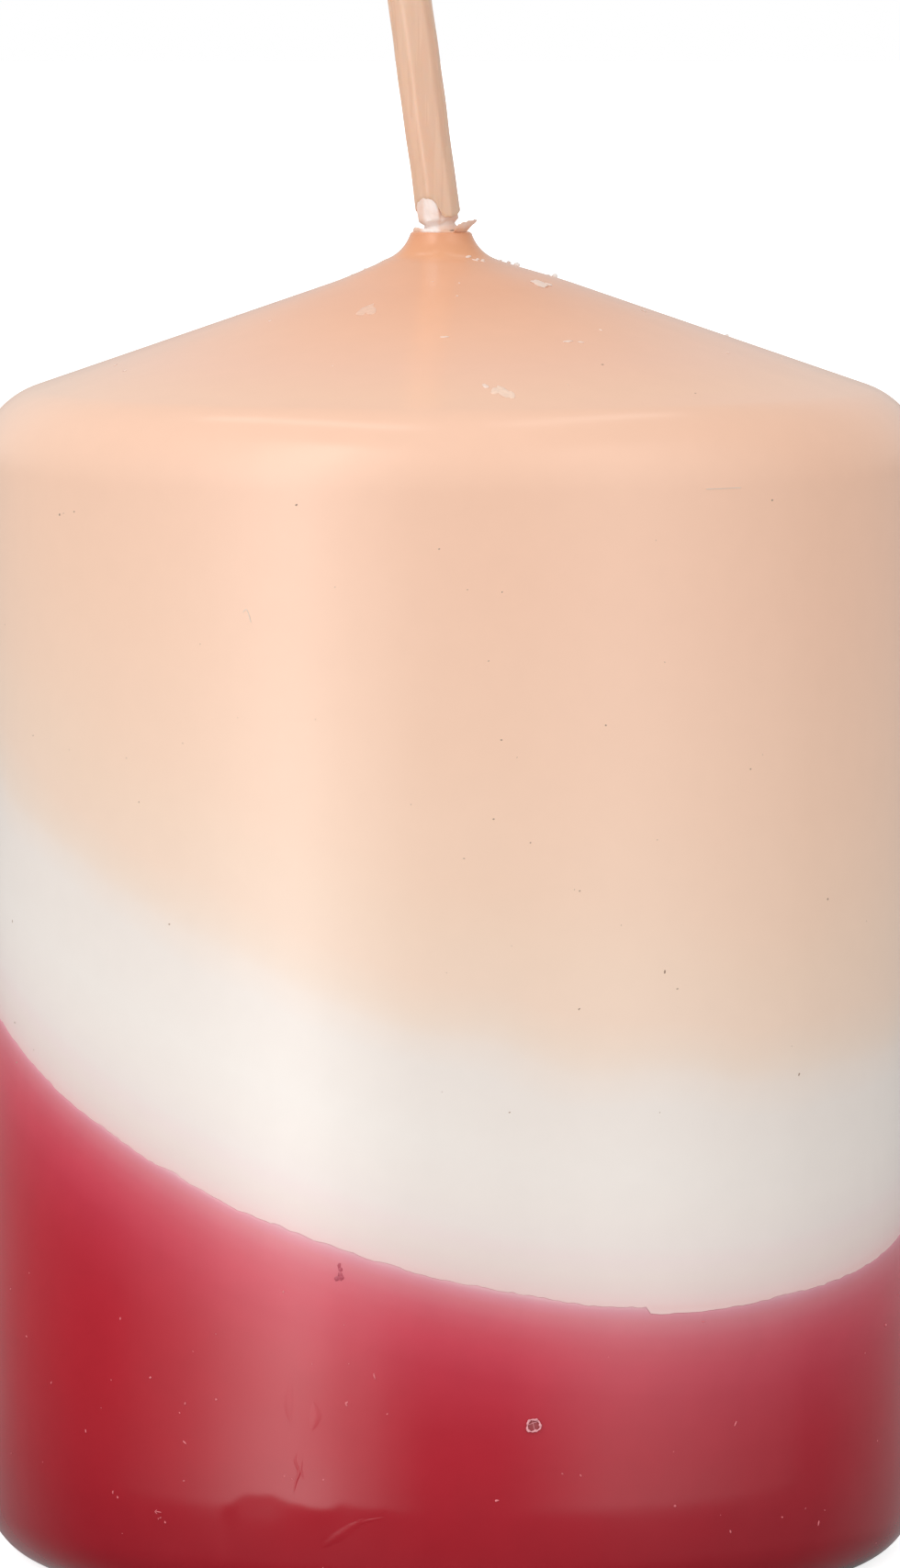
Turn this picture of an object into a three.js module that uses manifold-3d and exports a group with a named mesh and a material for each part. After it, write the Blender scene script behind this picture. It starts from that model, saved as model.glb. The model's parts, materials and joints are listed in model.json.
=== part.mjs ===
// Pillar candle: a pressed wax core under three overdipped coats, and a waxed cotton wick
// that bends at its root, where the wax sleeve round it has cracked.
// Millimetres and degrees, +Z up. The candle stands on z = 0 with its axis on x = y = 0,
// the front is -Y, and the wick leans to the left, towards -X.
import * as THREE from 'three';
import { mergeVertices } from 'three/addons/utils/BufferGeometryUtils.js';
import Module from 'manifold-3d';

const wasm = await Module();
wasm.setup();

// Body of the candle
const BODY_RADIUS = 35;
const SIDE_HEIGHT = 80.5; // the table to where the side starts to turn into the shoulder
const SHOULDER_ROUND = 6.2;
const CONE_SLOPE = 19.1;
const BASE_ROUND = 3.9;
const COAT = 1.5; // thickness of the overdipped wax
const SEAM = 0.3; // clearance between one body of wax and the next

// Slanted edges of the coats: height on the axis, tilt, and turn of the low side from the
// front to the right
const RED_EDGE = { height: 36.9, tilt: 23.4, turn: 33.4 };
const WHITE_BAND = 16.4; // the red edge to the peach edge, on the axis
const PEACH_EDGE = { height: RED_EDGE.height + WHITE_BAND, tilt: 22.5, turn: 42.3 };

// Collar of peach wax round the wick's root
const WICK_OFFSET = -0.75; // the wick's root is a little left of the candle's axis
const COLLAR_RADIUS = 2.12;
const COLLAR_ROUND = 3; // hollow curve from the collar out to the cone
const COLLAR_RISE = 1.35; // rim of the collar above the cone, at the collar's radius

// Wick
const COTTON_RADIUS = 1.1;
const SLEEVE_RADIUS = 1.67;
const SLEEVE_CLEARANCE = 0.2;
const BORE_CLEARANCE = 0.3;
const WICK_LEAN = 7.65;
const WICK_LENGTH = 21; // the pivot to the cut end of the cotton
const PIVOT_DEPTH = 0.3; // the pivot below the collar's rim
const ROOT_GAP = 0.3; // the round root to the cotton below and above it
const SLEEVE_START = 1.65; // the pivot to the sleeve's broken lower end
const COTTON_PROUD = 0.35; // the cotton past the sleeve's upper end
const BREAK_HEIGHT = 1.05; // corner broken off the sleeve's lower left
const BREAK_WIDTH = 1.37;

// Crumbled wax and the flake on the rim
const RIM_MARGIN = 0.15; // the crumbs to the rim's edge
const CRUST_WIDTH = 0.45;
const CRUST_HEIGHT = 0.3;
const CRUST_NOTCHES = 7;
const NOTCH_WIDTH = 0.3;
const NOTCH_DEPTH = 0.16;
const FLAKE_HEIGHT = 0.55;
const FLAKE_FOOT = 0.5;
const FLAKE_OVERHANG = 0.25; // tip of the flake past the rim's edge
const FLAKE_THICKNESS = 0.5;

// Sustainer: a tin disc with a neck that grips the wick
const TIN = 0.3;
const DISC_RADIUS = 10;
const NECK_HEIGHT = 7;
const NECK_CLEARANCE = 0.1;
const SEAT_CLEARANCE = 0.1;
const RECESS_DEPTH = 1.5;
const RECESS_CLEARANCE = 0.8;

// Fineness of the facets
const BODY_SIDES = 72;
const WICK_SIDES = 20;
const ARC_STEPS = 4;

const radians = THREE.MathUtils.degToRad;
const slope = Math.tan(radians(CONE_SLOPE));
const slant = Math.cos(radians(CONE_SLOPE));

// The cone's line on the outside meets the axis at this height.
const shoulderCentre = BODY_RADIUS - SHOULDER_ROUND;
const coneApex = SIDE_HEIGHT + SHOULDER_ROUND / slant + shoulderCentre * slope;
const rimHeight = coneApex - COLLAR_RADIUS * slope + COLLAR_RISE;
const pivot = new THREE.Vector3(WICK_OFFSET, 0, rimHeight - PIVOT_DEPTH);

// The collar's hollow curve has its centre here. It touches the cone's line on the side that
// the collar is offset to, and runs into the cone elsewhere.
const offsetDrop = Math.abs(WICK_OFFSET) * slope;
const hollow = new THREE.Vector2(COLLAR_RADIUS + COLLAR_ROUND, 0);
hollow.y = coneApex - offsetDrop - hollow.x * slope + COLLAR_ROUND / slant;
const rimAngle = Math.asin((hollow.y - rimHeight) / COLLAR_ROUND);
const rimRadius = hollow.x - COLLAR_ROUND * Math.cos(rimAngle);

const boreRadius = COTTON_RADIUS + BORE_CLEARANCE;
const neckBore = COTTON_RADIUS + NECK_CLEARANCE;
const neckRadius = neckBore + TIN;
const discBottom = RECESS_DEPTH - SEAT_CLEARANCE - TIN;
const neckTop = discBottom + NECK_HEIGHT;

// A closed geometry as a solid that can be joined and cut.
function solidOf(geometry) {
  const bare = geometry.clone();
  bare.deleteAttribute('normal');
  bare.deleteAttribute('uv');
  const merged = mergeVertices(bare);
  const corners = merged.index.array;
  const kept = [];
  for (let i = 0; i < corners.length; i += 3) {
    const [a, b, c] = corners.slice(i, i + 3);
    if (a !== b && b !== c && c !== a) kept.push(a, b, c);
  }
  return new wasm.Manifold(new wasm.Mesh({
    numProp: 3,
    vertProperties: new Float32Array(merged.attributes.position.array),
    triVerts: new Uint32Array(kept),
  }));
}

function geometryOf(solid) {
  const mesh = solid.getMesh();
  const geometry = new THREE.BufferGeometry();
  geometry.setAttribute('position', new THREE.BufferAttribute(mesh.vertProperties, 3));
  geometry.setIndex(new THREE.BufferAttribute(mesh.triVerts, 1));
  geometry.computeVertexNormals();
  return geometry;
}

// An outline in radius and height, turned round the Z axis.
function turned(outline, sides) {
  return new THREE.LatheGeometry(outline, sides).rotateX(Math.PI / 2);
}

function upright(radius, bottom, top, sides) {
  const height = top - bottom;
  return new THREE.CylinderGeometry(radius, radius, height, sides)
    .rotateX(Math.PI / 2)
    .translate(0, 0, bottom + height / 2);
}

// The candle's form, drawn in by a depth under its outer surface, down to a level bottom.
// Drawn in, it leaves a flat foot, where the coat turns under the candle.
function bodyOutline(depth, bottom) {
  const path = new THREE.Path();
  const footRadius = BODY_RADIUS - BASE_ROUND - depth;
  path.moveTo(0, bottom);
  path.lineTo(footRadius, bottom);
  if (depth > 0) path.lineTo(footRadius, depth);
  path.absarc(BODY_RADIUS - BASE_ROUND, BASE_ROUND, BASE_ROUND - depth, -Math.PI / 2, 0);
  path.absarc(shoulderCentre, SIDE_HEIGHT, SHOULDER_ROUND - depth, 0,
    Math.PI / 2 - radians(CONE_SLOPE));
  path.lineTo(0, coneApex - depth / slant);
  return path.getPoints(ARC_STEPS);
}

function body(depth, bottom = 0) {
  return solidOf(turned(bodyOutline(depth, bottom), BODY_SIDES));
}

// The wick's bore, a cylinder on the wick's own axis.
function bore(radius, bottom, top) {
  const cutter = upright(radius, bottom, top, WICK_SIDES).translate(WICK_OFFSET, 0, 0);
  return solidOf(cutter);
}

// The collar reaches down into the cone, and its hollow curve ends where it touches the cone.
function collar() {
  const path = new THREE.Path();
  const bottom = rimHeight - COLLAR_ROUND - COAT;
  path.moveTo(0, bottom);
  path.lineTo(hollow.x - COLLAR_ROUND * Math.sin(radians(CONE_SLOPE)), bottom);
  path.absarc(hollow.x, hollow.y, COLLAR_ROUND, -Math.PI / 2 - radians(CONE_SLOPE),
    Math.PI + rimAngle, true);
  path.lineTo(0, rimHeight);
  return solidOf(turned(path.getPoints(ARC_STEPS), WICK_SIDES * 2).translate(WICK_OFFSET, 0, 0));
}

// Everything under a coat's slanted edge, or over it, less half a seam.
function sideOf(edge, direction) {
  const size = 4 * (BODY_RADIUS + rimHeight);
  const block = new THREE.BoxGeometry(size, size, size)
    .translate(0, 0, direction * (size + SEAM) / 2)
    .rotateX(radians(edge.tilt))
    .rotateZ(radians(edge.turn))
    .translate(0, 0, edge.height);
  return solidOf(block);
}

const BELOW = -1;
const ABOVE = 1;

function waxCore() {
  const recess = bore(DISC_RADIUS + RECESS_CLEARANCE, -RECESS_DEPTH, RECESS_DEPTH);
  const neckHole = bore(neckRadius + BORE_CLEARANCE, discBottom, neckTop + BORE_CLEARANCE);
  const wickHole = bore(boreRadius, discBottom, rimHeight);
  return body(COAT + SEAM).subtract(recess).subtract(neckHole).subtract(wickHole);
}

// The three coats are one skin over the core, parted at the slanted edges.
function skin() {
  const wickHole = bore(boreRadius, SIDE_HEIGHT, rimHeight + COLLAR_ROUND);
  return body(0).add(collar()).subtract(body(COAT, -COAT)).subtract(wickHole);
}

function wickSustainer() {
  const outline = [
    [neckBore, discBottom],
    [DISC_RADIUS, discBottom],
    [DISC_RADIUS, discBottom + TIN],
    [neckRadius + TIN, discBottom + TIN],
    [neckRadius, discBottom + 2 * TIN],
    [neckRadius, neckTop],
    [neckBore, neckTop],
    [neckBore, discBottom],
  ].map(([radius, height]) => new THREE.Vector2(radius, height));
  return turned(outline, 2 * WICK_SIDES);
}

function wickSleeve() {
  const start = SLEEVE_START;
  const end = WICK_LENGTH - COTTON_PROUD;
  const inside = upright(COTTON_RADIUS + SLEEVE_CLEARANCE, 0, WICK_LENGTH, WICK_SIDES);
  const tube = solidOf(upright(SLEEVE_RADIUS, start, end, WICK_SIDES)).subtract(solidOf(inside));
  const block = 8 * SLEEVE_RADIUS;
  const broken = new THREE.BoxGeometry(block, block, block)
    .translate(0, 0, -block / 2)
    .rotateY(Math.atan2(BREAK_HEIGHT, BREAK_WIDTH))
    .translate(BREAK_WIDTH - SLEEVE_RADIUS, 0, start);
  return tube.subtract(solidOf(broken));
}

// Crumbled wax: a low ring on the rim, notched all round and open where the flake stands.
function rootCrust() {
  const outer = rimRadius - RIM_MARGIN;
  const ring = solidOf(upright(outer, 0, CRUST_HEIGHT, 2 * WICK_SIDES))
    .subtract(solidOf(upright(outer - CRUST_WIDTH, -CRUST_HEIGHT, 2 * CRUST_HEIGHT, WICK_SIDES)));
  let crust = ring;
  for (let i = 1; i <= CRUST_NOTCHES; i += 1) {
    const notch = new THREE.BoxGeometry(outer, NOTCH_WIDTH, CRUST_HEIGHT)
      .translate(outer, 0, CRUST_HEIGHT * 1.5 - NOTCH_DEPTH)
      .rotateZ(2 * Math.PI * i / (CRUST_NOTCHES + 1));
    crust = crust.subtract(solidOf(notch));
  }
  const stand = new THREE.BoxGeometry(2 * outer, FLAKE_THICKNESS + 2 * SEAM, 4 * CRUST_HEIGHT)
    .translate(outer + COTTON_RADIUS, 0, 0);
  return crust.subtract(solidOf(stand));
}

// The flake is a leaf that stands on the rim's right and leans out over its edge.
function sleeveFlake() {
  const heel = rimRadius - RIM_MARGIN - FLAKE_FOOT;
  const toe = rimRadius - RIM_MARGIN;
  const tip = rimRadius + FLAKE_OVERHANG;
  const leaf = new THREE.Shape();
  leaf.moveTo(heel, 0);
  leaf.lineTo(toe, 0);
  leaf.quadraticCurveTo(toe + RIM_MARGIN, FLAKE_HEIGHT / 2, tip, FLAKE_HEIGHT);
  leaf.quadraticCurveTo(heel + RIM_MARGIN, FLAKE_HEIGHT, heel, 0);
  return new THREE.ExtrudeGeometry(leaf, {
    depth: FLAKE_THICKNESS,
    bevelEnabled: false,
    curveSegments: ARC_STEPS,
  }).translate(0, 0, -FLAKE_THICKNESS / 2).rotateX(Math.PI / 2);
}

function wax(colour, roughness) {
  return new THREE.MeshStandardMaterial({ color: colour, roughness, metalness: 0 });
}

const peachWax = wax(0xf3cbab, 0.35);
const whiteWax = wax(0xf0e9e2, 0.35);
const redWax = wax(0xb02c3c, 0.3);
const coreWax = wax(0xf4efe6, 0.6);
const crumbWax = wax(0xf0e1d7, 0.8);
const cotton = new THREE.MeshStandardMaterial({ color: 0xefe6da, roughness: 0.95, metalness: 0 });
const tinplate = new THREE.MeshStandardMaterial({ color: 0xb9bcc0, roughness: 0.35, metalness: 1 });

function place(parent, name, geometry, material) {
  const mesh = new THREE.Mesh(geometry, material);
  mesh.name = name;
  parent.add(mesh);
}

const candle = new THREE.Group();
const coats = skin();
place(candle, 'wax_core', geometryOf(waxCore()), coreWax);
place(candle, 'red_overdip', geometryOf(coats.intersect(sideOf(RED_EDGE, BELOW))), redWax);
place(candle, 'white_overdip', geometryOf(coats.intersect(sideOf(RED_EDGE, ABOVE))
  .intersect(sideOf(PEACH_EDGE, BELOW))), whiteWax);
place(candle, 'peach_overdip', geometryOf(coats.intersect(sideOf(PEACH_EDGE, ABOVE))), peachWax);

// What stands on the wick's vertical axis
const wickAxis = new THREE.Group();
wickAxis.position.x = WICK_OFFSET;
candle.add(wickAxis);
place(wickAxis, 'wick_sustainer', wickSustainer(), tinplate);
place(wickAxis, 'wick_in_core',
  upright(COTTON_RADIUS, discBottom, pivot.z - COTTON_RADIUS - ROOT_GAP, WICK_SIDES), cotton);

// What stands on the collar's rim
const rim = new THREE.Group();
rim.position.set(WICK_OFFSET, 0, rimHeight);
candle.add(rim);
place(rim, 'root_crust', geometryOf(rootCrust()), crumbWax);
place(rim, 'sleeve_flake', sleeveFlake(), crumbWax);

// The wick above its pivot, bent to the left
const bentWick = new THREE.Group();
bentWick.position.copy(pivot);
bentWick.rotation.y = -radians(WICK_LEAN);
candle.add(bentWick);
place(bentWick, 'wick_root', new THREE.SphereGeometry(COTTON_RADIUS, WICK_SIDES, WICK_SIDES / 2), cotton);
place(bentWick, 'wick_cotton',
  upright(COTTON_RADIUS, COTTON_RADIUS + ROOT_GAP, WICK_LENGTH, WICK_SIDES), cotton);
place(bentWick, 'wick_wax_sleeve', geometryOf(wickSleeve()), peachWax);

export default candle;
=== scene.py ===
import json
import math

import bmesh
import bpy
import numpy as np
from mathutils import Matrix, Vector, noise

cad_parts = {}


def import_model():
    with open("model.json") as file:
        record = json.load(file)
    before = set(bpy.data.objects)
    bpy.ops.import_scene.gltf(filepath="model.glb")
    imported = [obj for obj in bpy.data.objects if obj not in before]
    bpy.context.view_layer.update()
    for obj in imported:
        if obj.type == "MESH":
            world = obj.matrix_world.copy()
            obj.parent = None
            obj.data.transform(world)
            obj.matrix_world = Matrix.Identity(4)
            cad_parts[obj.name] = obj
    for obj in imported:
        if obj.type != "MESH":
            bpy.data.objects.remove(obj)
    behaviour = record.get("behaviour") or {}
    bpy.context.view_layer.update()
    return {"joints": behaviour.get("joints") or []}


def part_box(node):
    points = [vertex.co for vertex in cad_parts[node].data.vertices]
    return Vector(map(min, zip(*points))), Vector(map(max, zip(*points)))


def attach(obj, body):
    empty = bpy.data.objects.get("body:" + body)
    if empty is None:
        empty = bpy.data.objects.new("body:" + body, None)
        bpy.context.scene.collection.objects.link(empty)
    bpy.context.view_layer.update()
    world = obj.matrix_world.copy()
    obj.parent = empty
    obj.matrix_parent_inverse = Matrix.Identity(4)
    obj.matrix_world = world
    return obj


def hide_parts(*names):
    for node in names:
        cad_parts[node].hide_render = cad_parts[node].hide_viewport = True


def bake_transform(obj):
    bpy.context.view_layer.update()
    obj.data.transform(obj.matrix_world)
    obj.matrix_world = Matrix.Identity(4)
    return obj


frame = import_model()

MM = 0.001

# Form of the candle, in millimetres and radians. The frame gives the first two
BODY_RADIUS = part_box("red_overdip")[1].x / MM
RIM_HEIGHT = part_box("peach_overdip")[1].z / MM
SIDE_HEIGHT = 80.5
SHOULDER_ROUND = 6.2
CONE_SLOPE = math.radians(19.1)
BASE_ROUND = 3.9
COAT = 1.5
COLLAR_RADIUS = 2.12
COLLAR_ROUND = 3.0

# Slanted edges: height on the axis, tilt, and turn of the low side from the front to the right
RED_EDGE = (36.9, math.radians(23.4), math.radians(33.4))
PEACH_EDGE = (53.3, math.radians(22.5), math.radians(42.3))

# The wick's pivot and the places along the wick, from the pivot
PIVOT = Vector(frame["joints"][0]["pos_m"]) / MM
WICK_LEAN = math.radians(7.65)
COTTON_RADIUS = 1.1
SLEEVE_RADIUS = 1.67
SLEEVE_END = 20.6
WICK_END = 20.8

# Fineness of the meshes
COLUMNS = 600
WICK_COLUMNS = 96
CRUST_COLUMNS = 120
ROUND_ROWS = 8  # along the rounded edges inside

# No strand runs along this direction
ACROSS_STRANDS = np.array([0.31, 0.95, 0.07])

RANDOM = np.random.default_rng(7)


# Small steps on numbers and points
def smooth(low, high, x):
    t = np.clip((x - low) / (high - low), 0.0, 1.0)
    return t * t * (3.0 - 2.0 * t)


def edge_normal(edge):
    _, tilt, turn = edge
    side = math.sin(tilt)
    return Vector((side * math.sin(turn), -side * math.cos(turn), math.cos(tilt)))


def edge_height(edge, x, y):
    """Height of a slanted plane over a point, in millimetres."""
    normal = edge_normal(edge)
    return edge[0] - (normal.x * x + normal.y * y) / normal.z


def waves(count, least, most, stretch):
    """A sum of slow waves round and up the candle, between -1 and 1: count of waves, the least
    and most of them round the candle, and the millimetres of one wave's height."""
    turns = RANDOM.integers(least, most + 1, count)
    climbs = RANDOM.uniform(-1.0, 1.0, count) * 2.0 * math.pi / stretch
    starts = RANDOM.uniform(0.0, 2.0 * math.pi, count)

    def value(angle, height):
        total = 0.0
        for turn, climb, start in zip(turns, climbs, starts):
            total = total + np.cos(turn * angle + climb * height + start)
        return total / count

    return value


def full_turn(steps):
    """Angles once round, in radians."""
    return np.linspace(0.0, 2.0 * math.pi, steps, endpoint=False)


def between(rows, place):
    """A row between the rows of a table. The place counts rows from the first."""
    return np.array([np.interp(place, range(len(rows)), column) for column in zip(*rows)])


def arc(centre, radius, start, end, steps):
    """Points of an arc in radius and height, from one angle to another."""
    angles = np.linspace(start, end, steps)
    return [(centre[0] + radius * math.cos(a), centre[1] + radius * math.sin(a)) for a in angles]


# Meshes
def add_object(name, data):
    piece = bpy.data.objects.new(name, data)
    bpy.context.scene.collection.objects.link(piece)
    return piece


def add_mesh(name, points, faces, sharp=40):
    """Points in millimetres become a smooth mesh in metres. Bends over sharp degrees stay sharp."""
    mesh = bpy.data.meshes.new(name)
    mesh.from_pydata(np.asarray(points) * MM, [], faces)
    mesh.shade_smooth()
    mesh.set_sharp_from_angle(angle=math.radians(sharp))
    mesh.update()
    return add_object(name, mesh)


def grid_faces(rows, columns, close_rows=False):
    """Quads of a grid whose columns run round and whose rows may close on themselves."""
    faces = []
    for row in range(rows if close_rows else rows - 1):
        here = row * columns
        above = (row + 1) % rows * columns
        for column in range(columns):
            beside = (column + 1) % columns
            faces.append((here + column, here + beside, above + beside, above + column))
    return faces


def ring_solid(name, rings, sharp=40, place=np.asarray):
    """A solid from rings of points, each ring one turn, the last joined to the first."""
    rings = np.asarray(rings)
    faces = grid_faces(len(rings), rings.shape[1], close_rows=True)
    return add_mesh(name, place(rings.reshape(-1, 3)), faces, sharp)


def capped_rings(rings):
    """Points and faces of a row of rings, with a face over each of its ends."""
    rings = np.asarray(rings)
    rows, columns = rings.shape[:2]
    first = tuple(reversed(range(columns)))
    last = tuple(range((rows - 1) * columns, rows * columns))
    return rings.reshape(-1, 3), grid_faces(rows, columns) + [first, last]


def joined(parts):
    """Points and faces of several parts, as one."""
    points = []
    faces = []
    for part_points, part_faces in parts:
        first = sum(len(earlier) for earlier in points)
        points.append(part_points)
        faces += [tuple(first + index for index in face) for face in part_faces]
    return np.concatenate(points), faces


def strand(path, radius, sides=8):
    """Points and faces of a round strand along a path, with closed ends."""
    path = np.asarray(path)
    ahead = np.gradient(path, axis=0)
    ahead /= np.linalg.norm(ahead, axis=1)[:, None]
    side = np.cross(ahead, ACROSS_STRANDS)
    side /= np.linalg.norm(side, axis=1)[:, None]
    up = np.cross(side, ahead)
    turn = full_turn(sides)
    rings = (path[:, None, :]
             + radius * np.cos(turn)[None, :, None] * side[:, None, :]
             + radius * np.sin(turn)[None, :, None] * up[:, None, :])
    points = np.concatenate([rings.reshape(-1, 3), path[:1], path[-1:]])
    faces = [tuple(reversed(face)) for face in grid_faces(len(path), sides)]
    start = len(path) * sides
    end = start + 1
    last = start - sides
    for corner in range(sides):
        beside = (corner + 1) % sides
        faces.append((start, corner, beside))
        faces.append((end, last + beside, last + corner))
    return points, faces


# The candle's skin
ANGLES = full_turn(COLUMNS)
slow_waves = waves(9, 2, 7, 60.0)
foot_waves = waves(12, 5, 19, 14.0)
edge_waves = waves(10, 3, 24, 100.0)

FILM_DEPTH = 0.07  # the skin's waves lie between the nominal surface and twice this under it
FOOT_TOP = 8.7  # under this line the side leans in a little
FOOT_LEAN = 0.09
FOOT_SHARP = 0.4  # millimetres over which the lean starts, where a drip left a clear line
FOOT_SOFT = 1.6  # and everywhere else
FOOT_SHARP_RANGE = (-27.0, -8.0)  # degrees from the front to the right
FOOT_STRAY_REACH = 1.5  # the line's wobbles die out this far under it
LIP = 0.03  # the red coat's edge stands this far over the white one
LIP_FADE = 9.0

# How far the red edge strays from its plane: degrees from the front to the right, and millimetres
RED_EDGE_STRAY = (
    (-75, 0.0), (-60, 0.12), (-53, 0.06), (-44.6, 0.24), (-38, 0.14), (-35, 0.36), (-26, 0.07),
    (-21, 0.27), (-14, 0.36), (-6, 0.36), (-4.5, 0.27), (6.4, 0.47), (18, 0.24), (23.4, 0.36),
    (23.8, -0.12), (29, -0.06), (36, 0.1), (43, 0.32), (60, 0.0), (80, 0.0),
)
RED_EDGE_RAGGED = 0.09
RED_EDGE_BITES = 0.06
EDGE_WAVE = 0.2  # millimetres of guessed waves where the photograph doesn't show the edge
EDGE_UNSEEN = (65, 85)  # degrees from the front over which they set in

# How far the foot's line strays: degrees from the front to the right, and millimetres
FOOT_STRAY = (
    (-60, 0.0), (-31, -0.45), (-27.0, -0.4), (-26.0, 0.2), (-24.7, 0.45), (-22.4, 0.5), (-20.4, 0.36),
    (-19.3, -0.02), (-17.0, -0.2), (-15.3, -0.5), (-14.0, -0.4), (-12.6, 0.1), (-11.6, -0.15),
    (-9.0, -0.3), (-6.0, -0.5), (5.0, -0.4), (60, 0.0),
)
FOOT_RAGGED = 0.16
FOOT_BITES = 0.12
FOOT_WAVE = 0.8
FOOT_UNSEEN = (30, 60)
LINE_NOISE = (0.9, 2.0, 3)  # how fast finer bumps fade, how much finer each kind is, and their kinds
# Radii between which the film's waves come in, and the rings move over to the candle's axis
FILM_FROM = (2.2, 6.0)
CENTRED_FROM = (3.5, 9.0)


def degrees_from_front(angle):
    return (np.degrees(angle) + 90.0 + 180.0) % 360.0 - 180.0


def rough_line(angle, size):
    """Noise along the line round the candle, about one bump per size in millimetres."""
    reach = BODY_RADIUS / size
    return np.array([
        noise.fractal(Vector((reach * math.cos(a), reach * math.sin(a), 0.0)), *LINE_NOISE)
        for a in angle
    ])


def red_edge_at(angle):
    """Height of the red coat's upper edge, with its wobbles and its raggedness."""
    x = BODY_RADIUS * np.cos(angle)
    y = BODY_RADIUS * np.sin(angle)
    from_front = degrees_from_front(angle)
    seen = np.interp(from_front, *zip(*RED_EDGE_STRAY))
    hidden = EDGE_WAVE * edge_waves(angle, 0.0) * smooth(*EDGE_UNSEEN, np.abs(from_front))
    ragged = RED_EDGE_RAGGED * rough_line(angle, 1.3) + RED_EDGE_BITES * rough_line(angle, 0.6)
    return edge_height(RED_EDGE, x, y) + seen + hidden + ragged


def peach_edge_at(angle):
    return edge_height(PEACH_EDGE, BODY_RADIUS * np.cos(angle), BODY_RADIUS * np.sin(angle))


FROM_FRONT = degrees_from_front(ANGLES)
foot_level = FOOT_TOP + FOOT_WAVE * foot_waves(ANGLES, 0.0) * smooth(*FOOT_UNSEEN, np.abs(FROM_FRONT))
foot_stray = np.interp(FROM_FRONT, *zip(*FOOT_STRAY))
foot_stray = foot_stray + FOOT_RAGGED * rough_line(ANGLES, 1.1) + FOOT_BITES * rough_line(ANGLES + 1.0, 0.6)
after_start = smooth(-2.0, 0.0, FROM_FRONT - FOOT_SHARP_RANGE[0])
before_end = smooth(-6.0, 0.0, FOOT_SHARP_RANGE[1] - FROM_FRONT)
foot_softness = FOOT_SOFT + (FOOT_SHARP - FOOT_SOFT) * (after_start * before_end)


def film_depth(height):
    """How far the skin lies under the nominal surface, at every angle of ANGLES."""
    depth = FILM_DEPTH * (1.0 + slow_waves(ANGLES, height))
    below = foot_level - height
    under = np.maximum(below + foot_stray * np.exp(-(below / FOOT_STRAY_REACH) ** 2), 0.0)
    return depth + FOOT_LEAN * (under - foot_softness * (1.0 - np.exp(-under / foot_softness)))


def film_share(radius):
    """The film's waves die out toward the collar."""
    return smooth(*FILM_FROM, radius)


def off_centre(radius):
    """Near the top the rings move over to the wick's root."""
    return PIVOT.x * (1.0 - smooth(*CENTRED_FROM, radius))


def ring(angle, radius, height, centre=0.0):
    """Points round the axis, at a radius and a height that may differ round it."""
    height = np.broadcast_to(height, angle.shape)
    return np.stack([radius * np.cos(angle) + centre, radius * np.sin(angle), height], axis=1)


def plain_ring(radius, height, centre=0.0):
    return ring(ANGLES, radius, height, centre)


def plain_rings(outline, centre=0.0):
    """Rings at the radii and heights of an outline."""
    return [plain_ring(radius, height, centre) for radius, height in outline]


def skin_ring(radius, height, normal=(1.0, 0.0), depth=0.0):
    """One ring of the skin. normal is the outline's normal in radius and height."""
    inset = film_depth(height) * film_share(radius) + depth
    return ring(ANGLES, radius - inset * normal[0], height - inset * normal[1], off_centre(radius))


def side_rings(low, high, rows, depth=lambda height: 0.0):
    """Rings up the side between two heights, which may differ round the candle."""
    rings = []
    for share in np.linspace(0.0, 1.0, rows):
        height = low + (high - low) * share
        rings.append(skin_ring(BODY_RADIUS, height, depth=depth(height)))
    return rings


def lip_depth(height):
    """Above the red edge the white coat lies under the red one's lip, and comes up to the surface."""
    above = (height - red_edge_at(ANGLES)) * math.cos(RED_EDGE[1])
    return LIP * (1.0 - smooth(0.5, LIP_FADE, above))


# Places of the coats' outline, in radius and height
FOOT_CENTRE = BODY_RADIUS - BASE_ROUND
SHOULDER_CENTRE = BODY_RADIUS - SHOULDER_ROUND
SHOULDER_TURN = math.pi / 2 - CONE_SLOPE
SLOPE_NORMAL = (math.sin(CONE_SLOPE), math.cos(CONE_SLOPE))
CONE_APEX = SIDE_HEIGHT + SHOULDER_ROUND / math.cos(CONE_SLOPE) + SHOULDER_CENTRE * math.tan(CONE_SLOPE)
INNER_RADIUS = BODY_RADIUS - COAT
BORE_RADIUS = COTTON_RADIUS + 0.3
BORE_FLARE = 3.0  # the inner cone stops at this radius's height where it meets the bore
# How the red coat's top edge rounds off: millimetres under the edge, and inward
RED_TOP_ROUND = ((0.3, 0.0), (0.16, 0.006), (0.07, 0.02), (0.02, 0.045), (0.0, 0.08))
# How the collar's rim rounds off: millimetres inward and down
RIM_ROUND = ((0.0, 0.16), (0.03, 0.07), (0.09, 0.015), (0.18, 0.0))
LEVEL_TO = 11.0  # under this height the red coat's rings are level, over it they lean with its edge
# Rings up the rounded foot, each half of the red side, the white and the peach side, the shoulder,
# the cone and the collar
FOOT_ROWS = 20
RED_ROWS = 34
WHITE_ROWS = 30
PEACH_ROWS = 44
SHOULDER_ROWS = 30
CONE_ROWS = 34
COLLAR_ROWS = 26


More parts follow.
